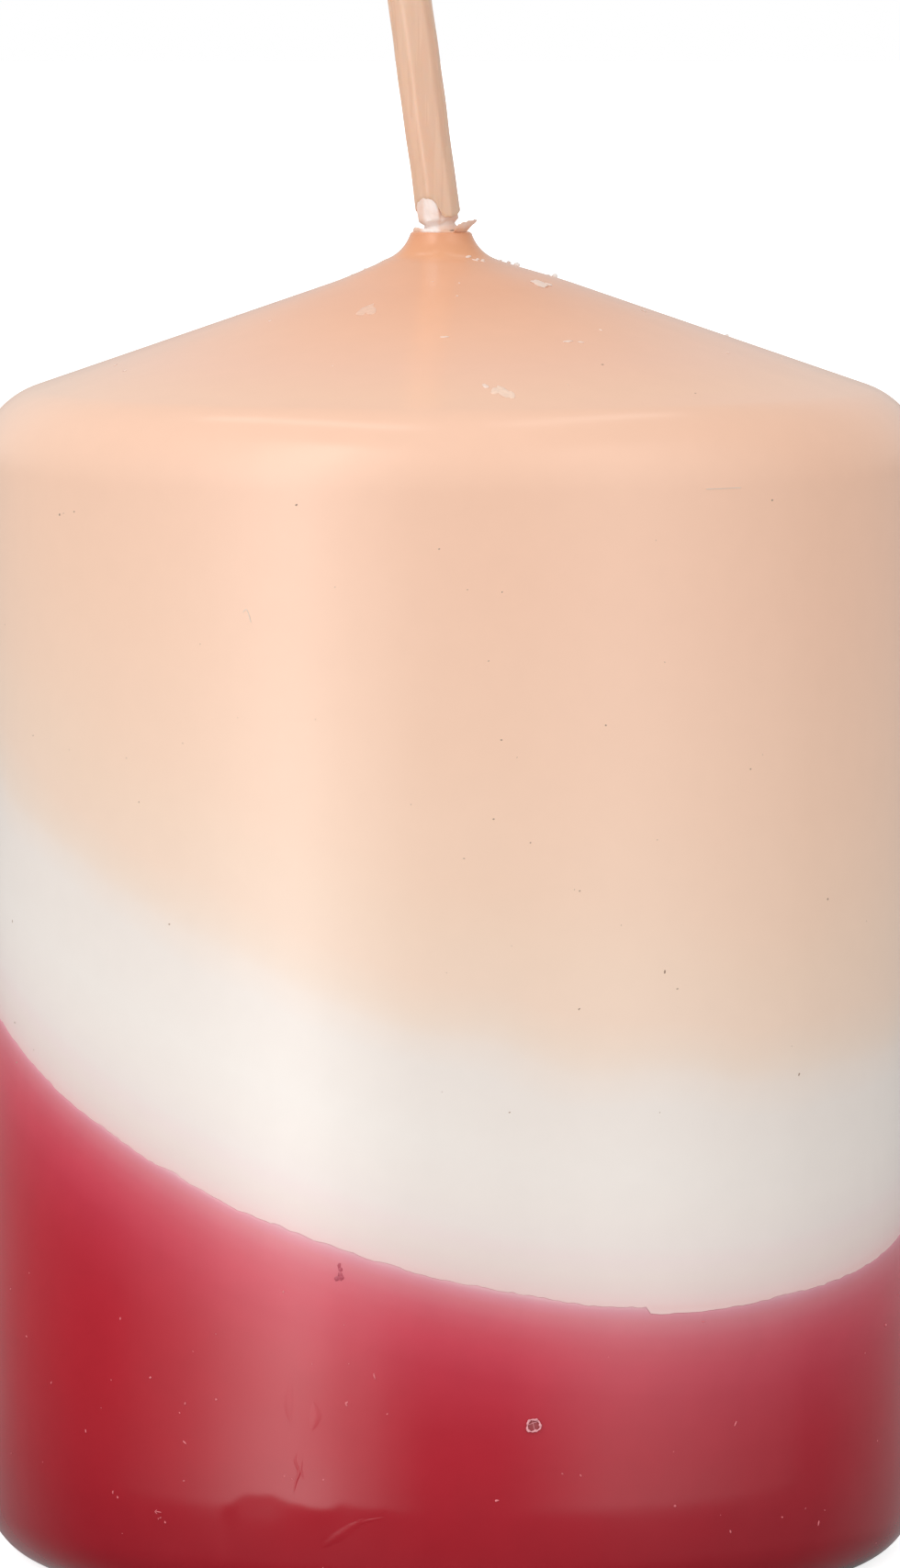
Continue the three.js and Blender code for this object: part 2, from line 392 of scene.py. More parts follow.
def red_coat():
    foot = (FOOT_CENTRE - COAT, FOOT_CENTRE - 0.9, FOOT_CENTRE - 0.4)
    rings = [plain_ring(radius, 0.0) for radius in foot]
    for share in np.linspace(0.0, 1.0, FOOT_ROWS):
        angle = math.radians(-90 + 90 * share)
        radius = FOOT_CENTRE + BASE_ROUND * math.cos(angle)
        height = BASE_ROUND * (1 + math.sin(angle))
        rings.append(skin_ring(radius, height, (math.cos(angle), 0.0)))
    top = red_edge_at(ANGLES)
    rings += side_rings(BASE_ROUND + 0.3, LEVEL_TO, RED_ROWS)
    rings += side_rings(LEVEL_TO + 0.5, top - 0.5, RED_ROWS)
    for below, depth in RED_TOP_ROUND:
        rings.append(skin_ring(BODY_RADIUS, top - below, depth=depth))
    rings.append(plain_ring(INNER_RADIUS, top - 0.1))
    for share in (0.75, 0.5, 0.25):
        rings.append(plain_ring(INNER_RADIUS, BASE_ROUND + (top - BASE_ROUND) * share))
    rings += plain_rings(arc((FOOT_CENTRE, BASE_ROUND), BASE_ROUND - COAT, 0.0, -math.pi / 2, ROUND_ROWS))
    rings.append(plain_ring(FOOT_CENTRE - COAT, COAT))
    return ring_solid("dipped_red_coat", rings)


def white_coat():
    low = red_edge_at(ANGLES)
    high = peach_edge_at(ANGLES)
    rings = side_rings(low, high, WHITE_ROWS, lip_depth)
    for height in (high, (low + high) / 2, low - 0.1):
        rings.append(plain_ring(INNER_RADIUS, height))
    return ring_solid("dipped_white_coat", rings)


def cone_line(apex, radius):
    """Height of a cone with the candle's slope, at a radius."""
    return apex - radius * math.tan(CONE_SLOPE)


def collar_outline():
    """Radii and heights up the hollow curve of the collar."""
    centre_radius = COLLAR_RADIUS + COLLAR_ROUND
    centre_height = cone_line(CONE_APEX, centre_radius) + COLLAR_ROUND / math.cos(CONE_SLOPE)
    rim_angle = math.asin((centre_height - RIM_HEIGHT) / COLLAR_ROUND)
    points = []
    for share in np.linspace(0.0, 1.0, COLLAR_ROWS):
        angle = -math.pi / 2 - CONE_SLOPE + (rim_angle + CONE_SLOPE - math.pi / 2) * share
        points.append((
            centre_radius + COLLAR_ROUND * math.cos(angle),
            centre_height + COLLAR_ROUND * math.sin(angle),
        ))
    return points


def shoulder_and_cone():
    rings = []
    for angle in np.linspace(0.0, SHOULDER_TURN, SHOULDER_ROWS)[1:]:
        normal = (math.cos(angle), math.sin(angle))
        radius = SHOULDER_CENTRE + SHOULDER_ROUND * normal[0]
        rings.append(skin_ring(radius, SIDE_HEIGHT + SHOULDER_ROUND * normal[1], normal))
    cone_start = SHOULDER_CENTRE + SHOULDER_ROUND * SLOPE_NORMAL[0]
    for radius in np.linspace(cone_start, collar_outline()[0][0], CONE_ROWS)[1:-1]:
        rings.append(skin_ring(radius, cone_line(CONE_APEX, radius), SLOPE_NORMAL))
    return rings


def collar_and_rim():
    outline = collar_outline()
    rim_radius = outline.pop()[0]
    outline += [(rim_radius - inset, RIM_HEIGHT - drop) for inset, drop in RIM_ROUND]
    outline += [(BORE_RADIUS + 0.1, RIM_HEIGHT - 0.02), (BORE_RADIUS, RIM_HEIGHT - 0.12)]
    return plain_rings(outline, PIVOT.x)


def peach_inside(low):
    """The coat's inner side, from the bore down to its lower edge."""
    apex = CONE_APEX - COAT / math.cos(CONE_SLOPE)
    inner_round = SHOULDER_ROUND - COAT
    rings = [plain_ring(BORE_RADIUS, cone_line(apex, BORE_FLARE), PIVOT.x)]
    for radius in np.linspace(4.0, SHOULDER_CENTRE + inner_round * SLOPE_NORMAL[0], ROUND_ROWS):
        rings.append(plain_ring(radius, cone_line(apex, radius)))
    shoulder = arc((SHOULDER_CENTRE, SIDE_HEIGHT), inner_round, SHOULDER_TURN, 0.0, ROUND_ROWS)
    rings += plain_rings(shoulder[1:])
    for share in (0.66, 0.33, 0.0):
        rings.append(plain_ring(INNER_RADIUS, low + (SIDE_HEIGHT - low) * share))
    return rings


def peach_coat():
    low = peach_edge_at(ANGLES)
    outside = side_rings(low, SIDE_HEIGHT, PEACH_ROWS) + shoulder_and_cone() + collar_and_rim()
    return ring_solid("dipped_peach_coat", outside + peach_inside(low))


# The wick
LEANED = Matrix.Rotation(-WICK_LEAN, 4, "Y")


def on_wick(points):
    """Points about the upright wick's pivot become points of the leaning wick."""
    turn = np.array(LEANED.to_3x3())
    return np.asarray(points) @ turn.T + np.array(PIVOT)


# Where the sleeve is broken off: degrees from the front to the right, and height along the wick.
# It has a round bite at the front left
SLEEVE_BREAK = (
    (-180, 1.75), (-120, 1.9), (-90, 2.02), (-74, 2.22), (-66, 2.45), (-54, 2.72), (-40, 2.84),
    (-25, 2.85), (-12, 2.74), (-4, 2.5), (3, 2.08), (9, 1.7), (14, 1.42), (20, 1.32), (32, 1.3),
    (46, 1.3), (60, 1.36), (74, 1.5), (90, 1.66), (130, 1.6), (180, 1.75),
)


def sleeve_bottom(angle):
    ragged = 0.025 * np.cos(17 * angle) + 0.02 * np.cos(29 * angle)
    return np.interp(degrees_from_front(angle), *zip(*SLEEVE_BREAK)) + ragged


def round_bite(angle):
    """1 in the sleeve's bite, 0 away from it."""
    return smooth(1.75, 2.35, sleeve_bottom(angle))


SLEEVE_ROWS = 70


def sleeve_wobble(angle, height):
    """Millimetres by which the sleeve shows the plies under it and the runs of the dip."""
    plies = 0.018 * np.cos(7 * angle + 0.4) + 0.012 * np.cos(13 * angle)
    runs = 0.02 * np.cos(0.55 * height + 2 * angle) + 0.012 * np.cos(1.3 * height - angle)
    return plies + runs


def wick_sleeve():
    """The wax tube on the wick."""
    angle = full_turn(WICK_COLUMNS)
    bottom = sleeve_bottom(angle)
    outer = SLEEVE_RADIUS - 0.05
    inner = COTTON_RADIUS + 0.12
    outline = [(inner + 0.05, bottom + 0.12), (outer - 0.1, bottom), (outer - 0.03, bottom + 0.03)]
    for share in np.linspace(0.0, 1.0, SLEEVE_ROWS):
        outline.append((outer, bottom + 0.1 + (SLEEVE_END - 0.18 - bottom) * share))
    outline += [
        (outer - 0.05, SLEEVE_END - 0.02), (outer - 0.16, SLEEVE_END),
        (inner + 0.05, SLEEVE_END - 0.04), (inner, SLEEVE_END - 0.3), (inner, SLEEVE_END / 2),
    ]
    rings = []
    for radius, height in outline:
        wobble = sleeve_wobble(angle, height) * (radius / SLEEVE_RADIUS)
        rings.append(ring(angle, radius + wobble, height))
    return ring_solid("waxed_wick_sleeve", rings, 50, on_wick)


BRAID_STRANDS = 8
BRAID_PITCH = 5.2  # millimetres of one turn of a strand
STRAND_SHARE = 0.34  # a strand's radius as a share of the braid's
FILLING_SHARE = 0.55  # the straight filling's radius as a share of the braid's
STRAND_INSET = 1.25  # a strand's middle lies this many of its radii under the braid's surface
WEAVE = 0.3  # and moves in and out by this many


def braid(name, low, high, place, radius=COTTON_RADIUS, steps_per_mm=6, fray=0.0):
    """A round cotton braid up the Z axis: strands wind both ways and pass over and under."""
    ply = radius * STRAND_SHARE
    steps = max(int((high - low) * steps_per_mm), 8)
    parts = []
    for index in range(BRAID_STRANDS):
        hand = 1 if index % 2 else -1
        start = 2 * math.pi * index / BRAID_STRANDS
        height = np.linspace(low, high + fray * RANDOM.uniform(-1.0, 0.0), steps)
        turn = hand * 2 * math.pi * height / BRAID_PITCH + start
        weave = np.cos(BRAID_STRANDS / 2 * turn + (math.pi if hand > 0 else 0.0))
        reach = radius - ply * STRAND_INSET + ply * WEAVE * weave
        path = np.stack([reach * np.cos(turn), reach * np.sin(turn), height], axis=1)
        parts.append(strand(path, ply))
    middle = np.zeros(steps)
    filling = np.stack([middle, middle, np.linspace(low, high - 0.05, steps)], axis=1)
    parts.append(strand(filling, radius * FILLING_SHARE, 12))
    points, faces = joined(parts)
    return add_mesh(name, place(points), faces, 80)


def upright_wick(points):
    return np.asarray(points) + np.array([PIVOT.x, 0.0, 0.0])


# Broken wax round the wick's root
def crumble(points, size, amount, seed):
    """Moves the points of a ring a little, as in crumbled wax."""
    moved = []
    for point in points:
        spot = Vector(point) / size
        lump = noise.noise(spot + Vector((seed, 0.0, 0.0)))
        lump += 0.5 * noise.noise(spot * 2.3 + Vector((0.0, seed, 0.0)))
        chip = noise.cell(spot * 1.4 + Vector((0.0, 0.0, seed))) - 0.5
        grown = 1.0 + amount * (lump + 0.5 * chip) / math.hypot(point[0], point[1])
        moved.append((point[0] * grown, point[1] * grown, point[2] + amount * 0.5 * lump))
    return moved


def on_rim(points):
    return np.asarray(points) + np.array([PIVOT.x, 0.0, RIM_HEIGHT])


# The crumbs on the wick end in a ball about the pivot, and the ones on the rim leave it room to turn
BALL = 1.38
BALL_LOW = 0.34
NECK_LOW = 0.82
NECK_RADIUS = 1.10
NECK_INSIDE = 1.12
NECK_RISE = 1.2  # millimetres that the neck widens per millimetre upward
NECK_ROWS = 18
RIM_CRUST_TOP = 0.21
RIM_CRUST_OUTSIDE = 1.93
RIM_CRUST_INSIDE = 1.45
# How coarse the wax has crumbled in millimetres, how deep, and a number that gives each its own form
RIM_CRUMBLE = (0.55, 0.02, 4.0)
NECK_CRUMBLE = (0.9, 0.04, 9.0)
FAR_LEANING = (43.0, -137.0)  # degrees from the front where both joints together lean the wick furthest
LUMP_AT = -76.0  # degrees from the front where a lump of the rim's crust stands higher


def far_leaning(angle):
    """1 at the front right and the back left, where both joints together lean the wick furthest."""
    right, left = (np.abs(degrees_from_front(angle) - turn) for turn in FAR_LEANING)
    return np.maximum(smooth(45.0, 10.0, right), smooth(45.0, 10.0, left))


def left_lump(angle):
    """1 on the rim's lump, 0 away from it."""
    return smooth(32.0, 8.0, np.abs(degrees_from_front(angle) - LUMP_AT))


def rim_crust():
    """The low broken ring of wax on the collar's rim, hollowed round the wick and wider at the left."""
    angle = full_turn(CRUST_COLUMNS)
    left = smooth(-0.2, 1.0, -np.cos(angle) - 0.25 * np.sin(angle))
    low = far_leaning(angle)
    top = RIM_CRUST_TOP + 0.05 * left + 0.09 * left_lump(angle) - 0.12 * low
    top = top + 0.02 * rough_line(angle, 7.0)
    outer = RIM_CRUST_OUTSIDE + 0.12 * left + 0.12 * low + 0.04 * rough_line(angle + 2.0, 7.0)
    outline = (
        (RIM_CRUST_INSIDE, -0.05),
        (outer - 0.05, -0.05),
        (outer, top * 0.2),
        (outer - 0.02 - 0.06 * low, top * 0.6),
        (outer - 0.07 - 0.10 * low, top * 0.95),
        (outer - 0.13 - 0.12 * low, top),
        (1.74, np.minimum(top, 0.17 - 0.07 * low)),
        (1.62, 0.11 - 0.04 * low),
        (1.52, 0.06 - 0.02 * low),
        (RIM_CRUST_INSIDE, 0.03),
    )
    rings = [crumble(ring(angle, radius, height), *RIM_CRUMBLE) for radius, height in outline]
    return ring_solid("crumbled_wax_on_rim", rings, 50, on_rim)


def wick_crust():
    """Cracked pale wax that clings to the wick and fills the sleeve's bite with a rounded tongue."""
    angle = full_turn(CRUST_COLUMNS)
    bottom = sleeve_bottom(angle)
    neck = 1.30 + 0.15 * smooth(-0.3, 0.9, np.cos(angle)) + 0.30 * round_bite(angle)
    far = far_leaning(angle)
    room = 0.07 * left_lump(angle)
    rings = [ring(angle, NECK_INSIDE, BALL_LOW + 0.1)]
    for share in np.linspace(0.0, 1.0, NECK_ROWS):
        height = BALL_LOW + (bottom + 0.06 - BALL_LOW) * share
        ball = np.sqrt(np.maximum(BALL ** 2 - height ** 2, 0.0))
        rising = (NECK_RISE - 0.05 * far) * (height - NECK_LOW - 0.2 * far - room)
        swell = np.minimum(neck, NECK_RADIUS + rising)
        lumps = 0.05 * rough_line(angle + 0.4 * share, 8.0) * smooth(1.2, 1.7, height)
        plain = ring(angle, np.maximum(ball, swell) + lumps, height)
        moved = np.asarray(crumble(plain, *NECK_CRUMBLE))
        rings.append(plain + (moved - plain) * smooth(1.1, 1.5, height)[:, None])
    for radius, over in ((neck - 0.06, 0.1), (neck - 0.2, 0.13), (NECK_INSIDE, 0.15)):
        rings.append(ring(angle, radius, bottom + over))
    return ring_solid("crumbled_wax_on_wick", rings, 50, on_wick)


# The flake's foot on the rim and its top edge, in millimetres from the middle of the rim
FLAKE_FOOT = ((0.94, -1.80), (1.16, -1.70), (1.34, -1.56), (1.64, -1.26), (1.88, -0.88), (2.00, -0.56))
FLAKE_TOP = (
    (1.00, -2.04, 0.36), (1.22, -2.07, 0.56), (1.50, -1.99, 0.72), (1.94, -1.71, 0.84),
    (2.36, -1.14, 0.90), (2.66, -0.66, 0.95),
)
FLAKE_STEPS = 28
FLAKE_THICK = 0.05  # half the flake's thickness at its front end


def flake_ring(share):
    """One cross-section of the flake, by its share of the way from the front to the right."""
    place = share * (len(FLAKE_FOOT) - 1)
    foot = np.append(between(FLAKE_FOOT, place), 0.02)
    top = between(FLAKE_TOP, place)
    foot = foot + (top - foot) * 0.6 * smooth(0.72, 1.0, share)
    top[2] += 0.03 * math.sin(31 * share) + 0.02 * math.sin(53 * share)
    middle = foot * 0.5 + top * 0.5
    out = np.array([foot[0], foot[1], 0.0])
    out /= np.linalg.norm(out)
    thick = FLAKE_THICK - 0.02 * share
    bulge = 0.05
    return [
        foot - out * thick, foot + out * thick,
        middle + out * (thick + bulge), top + out * thick * 0.3,
        top - out * thick * 0.3, middle + out * (bulge - thick),
    ]


def leaf_flake():
    """The flake of broken sleeve: a thin curled leaf that leans out over the rim."""
    points, faces = capped_rings([flake_ring(share) for share in np.linspace(0.0, 1.0, FLAKE_STEPS)])
    return add_mesh("broken_sleeve_flake", on_rim(points), faces, 50)


# Litter on the skin: specks, flakes and hairs
def cone_height(radius):
    """Height and slope of the cone, or of the collar's hollow curve, at a radius."""
    to_middle = COLLAR_RADIUS + COLLAR_ROUND - radius
    if to_middle < COLLAR_ROUND * math.sin(CONE_SLOPE):
        return cone_line(CONE_APEX, radius), math.tan(CONE_SLOPE)
    drop = math.sqrt(max(COLLAR_ROUND ** 2 - to_middle ** 2, 0.01))
    middle_height = cone_line(CONE_APEX, radius + to_middle) + COLLAR_ROUND / math.cos(CONE_SLOPE)
    return middle_height - drop, to_middle / drop


def skin_point(from_front, height=None, radius=None, lift=0.0):
    """A point of the skin and its normal. A radius puts it on the cone, a height on the side."""
    angle = math.radians(from_front - 90.0)
    out = Vector((math.cos(angle), math.sin(angle), 0.0))
    if radius is None:
        normal = out
        inset = float(np.interp(angle % (2 * math.pi), ANGLES, film_depth(height)))
        point = out * (BODY_RADIUS - inset) + Vector((0, 0, height))
    else:
        height, slope = cone_height(radius)
        normal = Vector((out.x * slope, out.y * slope, 1.0)).normalized()
        point = out * radius + Vector((off_centre(radius), 0.0, height))
        waved = float(1.0 + slow_waves(angle, height))
        point -= normal * FILM_DEPTH * waved * float(film_share(radius))
    return point + normal * lift, normal


def axes_on_skin(normal):
    """The skin's directions to the side and upward."""
    side = Vector((0, 0, 1)).cross(normal).normalized()
    return side, normal.cross(side)


SPECK_UNEVEN = 0.45
CONE_REACH = (7.0, 29.0)  # radii of the cone that carries specks


def add_speck(mesh, index, place):
    """Adds one flat lump to a mesh that is being built."""
    from_front, height, radius, length, width, thickness, turn = place
    centre, normal = skin_point(from_front, height, radius, thickness * 0.15)
    side, up = axes_on_skin(normal)
    turn = math.radians(turn)
    along = side * math.cos(turn) + up * math.sin(turn)
    across = up * math.cos(turn) - side * math.sin(turn)
    for vertex in bmesh.ops.create_icosphere(mesh, subdivisions=2, radius=1.0)["verts"]:
        spot = vertex.co.copy()
        uneven = 1.0 + SPECK_UNEVEN * noise.noise(spot * 1.6 + Vector((index * 3.1, 0.0, 0.0)))
        point = centre + along * (spot.x * length / 2 * uneven)
        point += across * (spot.y * width / 2 * uneven)
        point += normal * (spot.z * thickness / 2 * uneven)
        vertex.co = point


def specks(name, places):
    """Small flat lumps on the skin. A place is (degrees from the front, height, radius, length, width,
    thickness, turn in degrees), with None for the height or the radius that it goes without."""
    mesh = bmesh.new()
    for index, place in enumerate(places):
        add_speck(mesh, index, place)
    points = [vertex.co[:] for vertex in mesh.verts]
    faces = [[vertex.index for vertex in face.verts] for face in mesh.faces]
    mesh.free()
    return add_mesh(name, points, faces, 60)


def on_side(low, high):
    """Draws a height between two, and no radius."""
    return lambda: (RANDOM.uniform(low, high), None)


def on_cone():
    """Draws a radius on the cone, and no height."""
    least, most = CONE_REACH
    return None, math.sqrt(RANDOM.uniform(least ** 2, most ** 2))


def scattered(count, draw_place, least, most, longest, thickness):
    """Random small specks between two sizes, and up to longest times as long as wide."""
    places = []
    for _ in range(count):
        size = least + (most - least) * RANDOM.random() ** 2
        from_front = RANDOM.uniform(-180, 180)
        height, radius = draw_place()
        length = size * RANDOM.uniform(1.0, longest)
        places.append((from_front, height, radius, length, size, thickness, RANDOM.uniform(0, 180)))
    return places


# The hollow crumb on the red wax: its place in degrees from the front and height, and its corners as
# degrees round it and millimetres from its middle
CRUMB_AT = (9.6, 14.25)
CRUMB_CORNERS = (
    (4, 0.54), (67, 0.53), (80, 0.47), (130, 0.56), (176, 0.52), (217, 0.62), (284, 0.46), (338, 0.60),
)
CRUMB_STEPS = 64
CRUMB_RIM = 0.08
CRUMB_RIM_LIFT = 0.1
CRUMB_RIBS = ((176, 40), (105, 284))


def crumb_point(turn, share, inset, lift):
    """A point of the crumb: degrees round it, share of the way out to its outline less an inset, and
    millimetres over the skin."""
    centre, normal = skin_point(*CRUMB_AT)
    side, up = axes_on_skin(normal)
    reach = share * (np.interp(turn, *zip(*CRUMB_CORNERS), period=360) - inset)
    flat = side * math.cos(math.radians(turn)) + up * math.sin(math.radians(turn))
    return centre + flat * reach + normal * lift


def crumb_rim_point(turn):
    return crumb_point(turn, 1.0, CRUMB_RIM, CRUMB_RIM_LIFT)


def ring_crumb():
    """The crumb's ragged rim with thin ribs across it."""
    centre, normal = skin_point(*CRUMB_AT)
    rings = []
    for index in range(CRUMB_STEPS):
        turn = 360.0 * index / CRUMB_STEPS
        middle = crumb_rim_point(turn)
        out = (middle - centre).normalized()
        swell = 1.0 + 0.35 * math.cos(math.radians(5 * turn))
        swell += 0.2 * math.cos(math.radians(11 * turn))
        rings.append([
            tuple(middle + CRUMB_RIM * swell * (out * math.cos(around) + normal * math.sin(around)))
            for around in full_turn(8)
        ])
    parts = [(np.asarray(rings).reshape(-1, 3), grid_faces(CRUMB_STEPS, 8, close_rows=True))]
    for start, end in CRUMB_RIBS:
        path = []
        for share in np.linspace(0.0, 1.0, 9):
            sag = 0.06 * math.sin(math.pi * share)
            path.append(tuple(crumb_rim_point(start).lerp(crumb_rim_point(end), share) - normal * sag))
        parts.append(strand(path, 0.018, 6))
    return add_mesh("hollow_crumb", *joined(parts), 60)


def crumb_film():
    """The thin film left inside the hollow crumb."""
    rings = []
    for share, lift in ((0.0, 0.0), (1.0, 0.0), (1.0, 0.03), (0.0, 0.05)):
        rings.append([tuple(crumb_point(turn, share, 0.5 * CRUMB_RIM, lift)) for turn in range(0, 360, 10)])
    return ring_solid("hollow_crumb_film", rings)


# Low ridges on the red wax: their places in degrees from the front and height, their width and rise
SCARS = (
    (((-18.3, 12.2), (-18.6, 11.5), (-18.0, 10.7), (-18.5, 9.9), (-18.8, 9.0)), 0.42, 0.022),
    (((-17.6, 11.7), (-17.9, 10.9), (-17.4, 10.1)), 0.4, 0.016),
    (((-15.4, 5.2), (-13.9, 5.9), (-12.2, 6.7), (-10.0, 7.6)), 1.9, 0.028),
    (((-11.6, 6.9), (-9.6, 7.4), (-7.8, 7.7)), 1.4, 0.018),
    (((-19.0, 17.2), (-19.4, 15.6), (-19.1, 14.0)), 1.0, 0.02),
    (((-16.3, 15.9), (-16.0, 14.7), (-16.5, 13.6)), 1.2, 0.02),
)
SCAR_STEPS = 24
SCAR_SUNK = 0.006  # the edges of a scar lie this far in the wax
SCAR_UNDERSIDE = ((0.6, -0.1), (-0.6, -0.1))


def scar(places, width, rise):
    """Rings of one low ridge along its places. It tapers at both ends."""
    rings = []
    for step in range(SCAR_STEPS):
        share = step / (SCAR_STEPS - 1)
        taper = math.sin(math.pi * min(max(share, 0.02), 0.98)) ** 0.6
        spot, normal = skin_point(*between(places, share * (len(places) - 1)))
        side = axes_on_skin(normal)[0]
        profile = [
            (across, rise * taper * math.cos(across * math.pi / 2) ** 2 - SCAR_SUNK)
            for across in np.linspace(-1.0, 1.0, 11)
        ]
        rings.append([
            tuple(spot + side * (across * width / 2 * taper) + normal * lift)
            for across, lift in (*profile, *SCAR_UNDERSIDE)
        ])
    return rings


def scars():
    parts = [capped_rings(scar(*row)) for row in SCARS]
    return add_mesh("wax_scars", *joined(parts), 60)


# Fine fibres: their two ends in degrees from the front and height, their bow, and their steps
HAIRS = (
    ((31.1, 83.0), (36.0, 82.0), 0.25, 12),
    ((-24.9, 71.9), (-23.9, 71.2), 0.5, 10),
    ((120.0, 62.0), (123.0, 60.5), 0.4, 12),
    ((-150.0, 30.0), (-148.0, 32.5), 0.4, 12),
)
HAIR_RADIUS = 0.022


def hairs():
    """A few fine fibres that lie on the wax."""
    parts = []
    for (start, start_height), (end, end_height), bow, steps in HAIRS:
        path = []
        for step in range(steps):
            share = step / (steps - 1)
            height = start_height + (end_height - start_height) * share + bow * math.sin(math.pi * share)
            spot = skin_point(start + (end - start) * share, min(height, SIDE_HEIGHT), lift=0.01)[0]
            path.append(tuple(spot))
        parts.append(strand(path, HAIR_RADIUS, 6))
    return add_mesh("fine_hairs", *joined(parts), 60)


# Materials
class Nodes:
    """A node tree, with short calls for the nodes that the looks and the lights use."""

    def __init__(self, tree):
        self.tree = tree

    def feed(self, socket, value):
        if isinstance(value, bpy.types.NodeSocket):
            self.tree.links.new(value, socket)
        else:
            socket.default_value = value

    def node(self, kind, values=(), **settings):
        made = self.tree.nodes.new(kind)
        for key, value in settings.items():
            setattr(made, key, value)
        for key, value in dict(values).items():
            if value is not None:
                self.feed(made.inputs[key], value)
        return made

    def math(self, operation, a, b=None, clamp=False):
        return self.node("ShaderNodeMath", {0: a, 1: b}, operation=operation, use_clamp=clamp).outputs[0]

    def vector(self, operation, a, b=None, scale=None):
        made = self.node("ShaderNodeVectorMath", {0: a, 1: b, "Scale": scale}, operation=operation)
        return made.outputs["Value" if operation in ("DOT_PRODUCT", "LENGTH") else "Vector"]

    def spread(self, value, low, high, to_low=0.0, to_high=1.0):
        made = self.node("ShaderNodeMapRange", {
            "Value": value, "From Min": low, "From Max": high, "To Min": to_low, "To Max": to_high,
        })
        return made.outputs["Result"]

    def ramp(self, value, stops):
        """Colours at places along a value, as (place, (red, green, blue))."""
        low, high = stops[0][0], stops[-1][0]
        made = self.node("ShaderNodeValToRGB", {"Fac": self.spread(value, low, high)})
        elements = made.color_ramp.elements
        while len(elements) < len(stops):
            elements.new(0.5)
        for element, (place, colour) in zip(elements, stops):
            element.position = (place - low) / (high - low)
            element.color = (*colour, 1.0)
        return made.outputs["Color"]


class Shader(Nodes):
    """A new material whose nodes know their place on the candle in millimetres."""

    def __init__(self, name):
        self.material = bpy.data.materials.new(name)
        self.material.use_nodes = True
        super().__init__(self.material.node_tree)
        self.surface = self.tree.nodes["Principled BSDF"]
        coordinates = self.node("ShaderNodeTexCoord")
        self.place = self.vector("SCALE", coordinates.outputs["Object"], scale=1.0 / MM)

    def mix(self, share, a, b, blend="MIX"):
        """Two colours, given or from a socket, in shares."""
        made = self.node("ShaderNodeMix", data_type="RGBA", blend_type=blend)
        for index, value in ((0, share), (6, a), (7, b)):
            self.feed(made.inputs[index], (*value, 1.0) if isinstance(value, tuple) else value)
        return made.outputs[2]

    def tinted(self, colour, tint):
        return self.mix(1.0, colour, tint, "MULTIPLY")

    def soft_step(self, value, low, high):
        made = self.node("ShaderNodeMapRange", {
            "Value": value, "From Min": low, "From Max": high,
        }, interpolation_type="SMOOTHSTEP")
        return made.outputs["Result"]

    def noise(self, scale, detail=3.0, roughness=0.5, stretch=(1.0, 1.0, 1.0)):
        """Noise whose features are about 1/scale millimetres, stretched along the axes."""
        made = self.node("ShaderNodeTexNoise", {
            "Vector": self.vector("MULTIPLY", self.place, stretch),
            "Scale": scale, "Detail": detail, "Roughness": roughness,
        })
        return made.outputs[0]

    def by_noise(self, noise_value, low, high):
        """A value that a noise moves between low and high. Most of a noise lies from 0.3 to 0.7."""
        return self.spread(noise_value, 0.3, 0.7, low, high)

    def along(self, *axis):
        """Millimetres along a direction."""
        return self.vector("DOT_PRODUCT", self.place, axis)

    def over_edge(self, edge):
        """Millimetres above a slanted plane."""
        normal = edge_normal(edge)
        return self.math("SUBTRACT", self.along(*normal), edge[0] * normal.z)

    def bump(self, height, distance):
        made = self.node("ShaderNodeBump", {"Height": height, "Distance": distance * MM, "Strength": 1.0})
        return made.outputs["Normal"]

    def dress(self, colour, roughness, normal):
        for name, value in (("Base Color", colour), ("Roughness", roughness), ("Normal", normal)):
            self.feed(self.surface.inputs[name], value)


def finish_wax(shader, colour, roughness, normal, scatter=0.0, radius=(1.0, 0.35, 0.2), depth=0.6):
    """scatter is the share of light that enters the wax, to the depth in millimetres."""
    shader.dress(colour, roughness, normal)
    surface = shader.surface.inputs
    surface["IOR"].default_value = 1.44
    surface["Subsurface Weight"].default_value = scatter
    surface["Subsurface Radius"].default_value = radius
    surface["Subsurface Scale"].default_value = depth * MM
    return shader.material


def finish_dipped(shader, colour):
    """Roughness and normal of a dipped film: faint drawn streaks and a slight mottle."""
    streaks = shader.noise(0.5, 1.0, 0.4, (1.0, 1.0, 0.08))
    mottle = shader.noise(0.12, 1.0, 0.4)
    height = shader.math("ADD", shader.math("MULTIPLY", streaks, 0.12), mottle)
    return finish_wax(shader, colour, shader.by_noise(mottle, 0.18, 0.23), shader.bump(height, 0.05))


def finish_grain(shader, colour, patches, smoothest, roughest):
    """A fine dull grain, for tiny pieces."""
    normal = shader.bump(shader.noise(8.0, 2.0), 0.02)
    return finish_wax(shader, colour, shader.by_noise(patches, smoothest, roughest), normal)


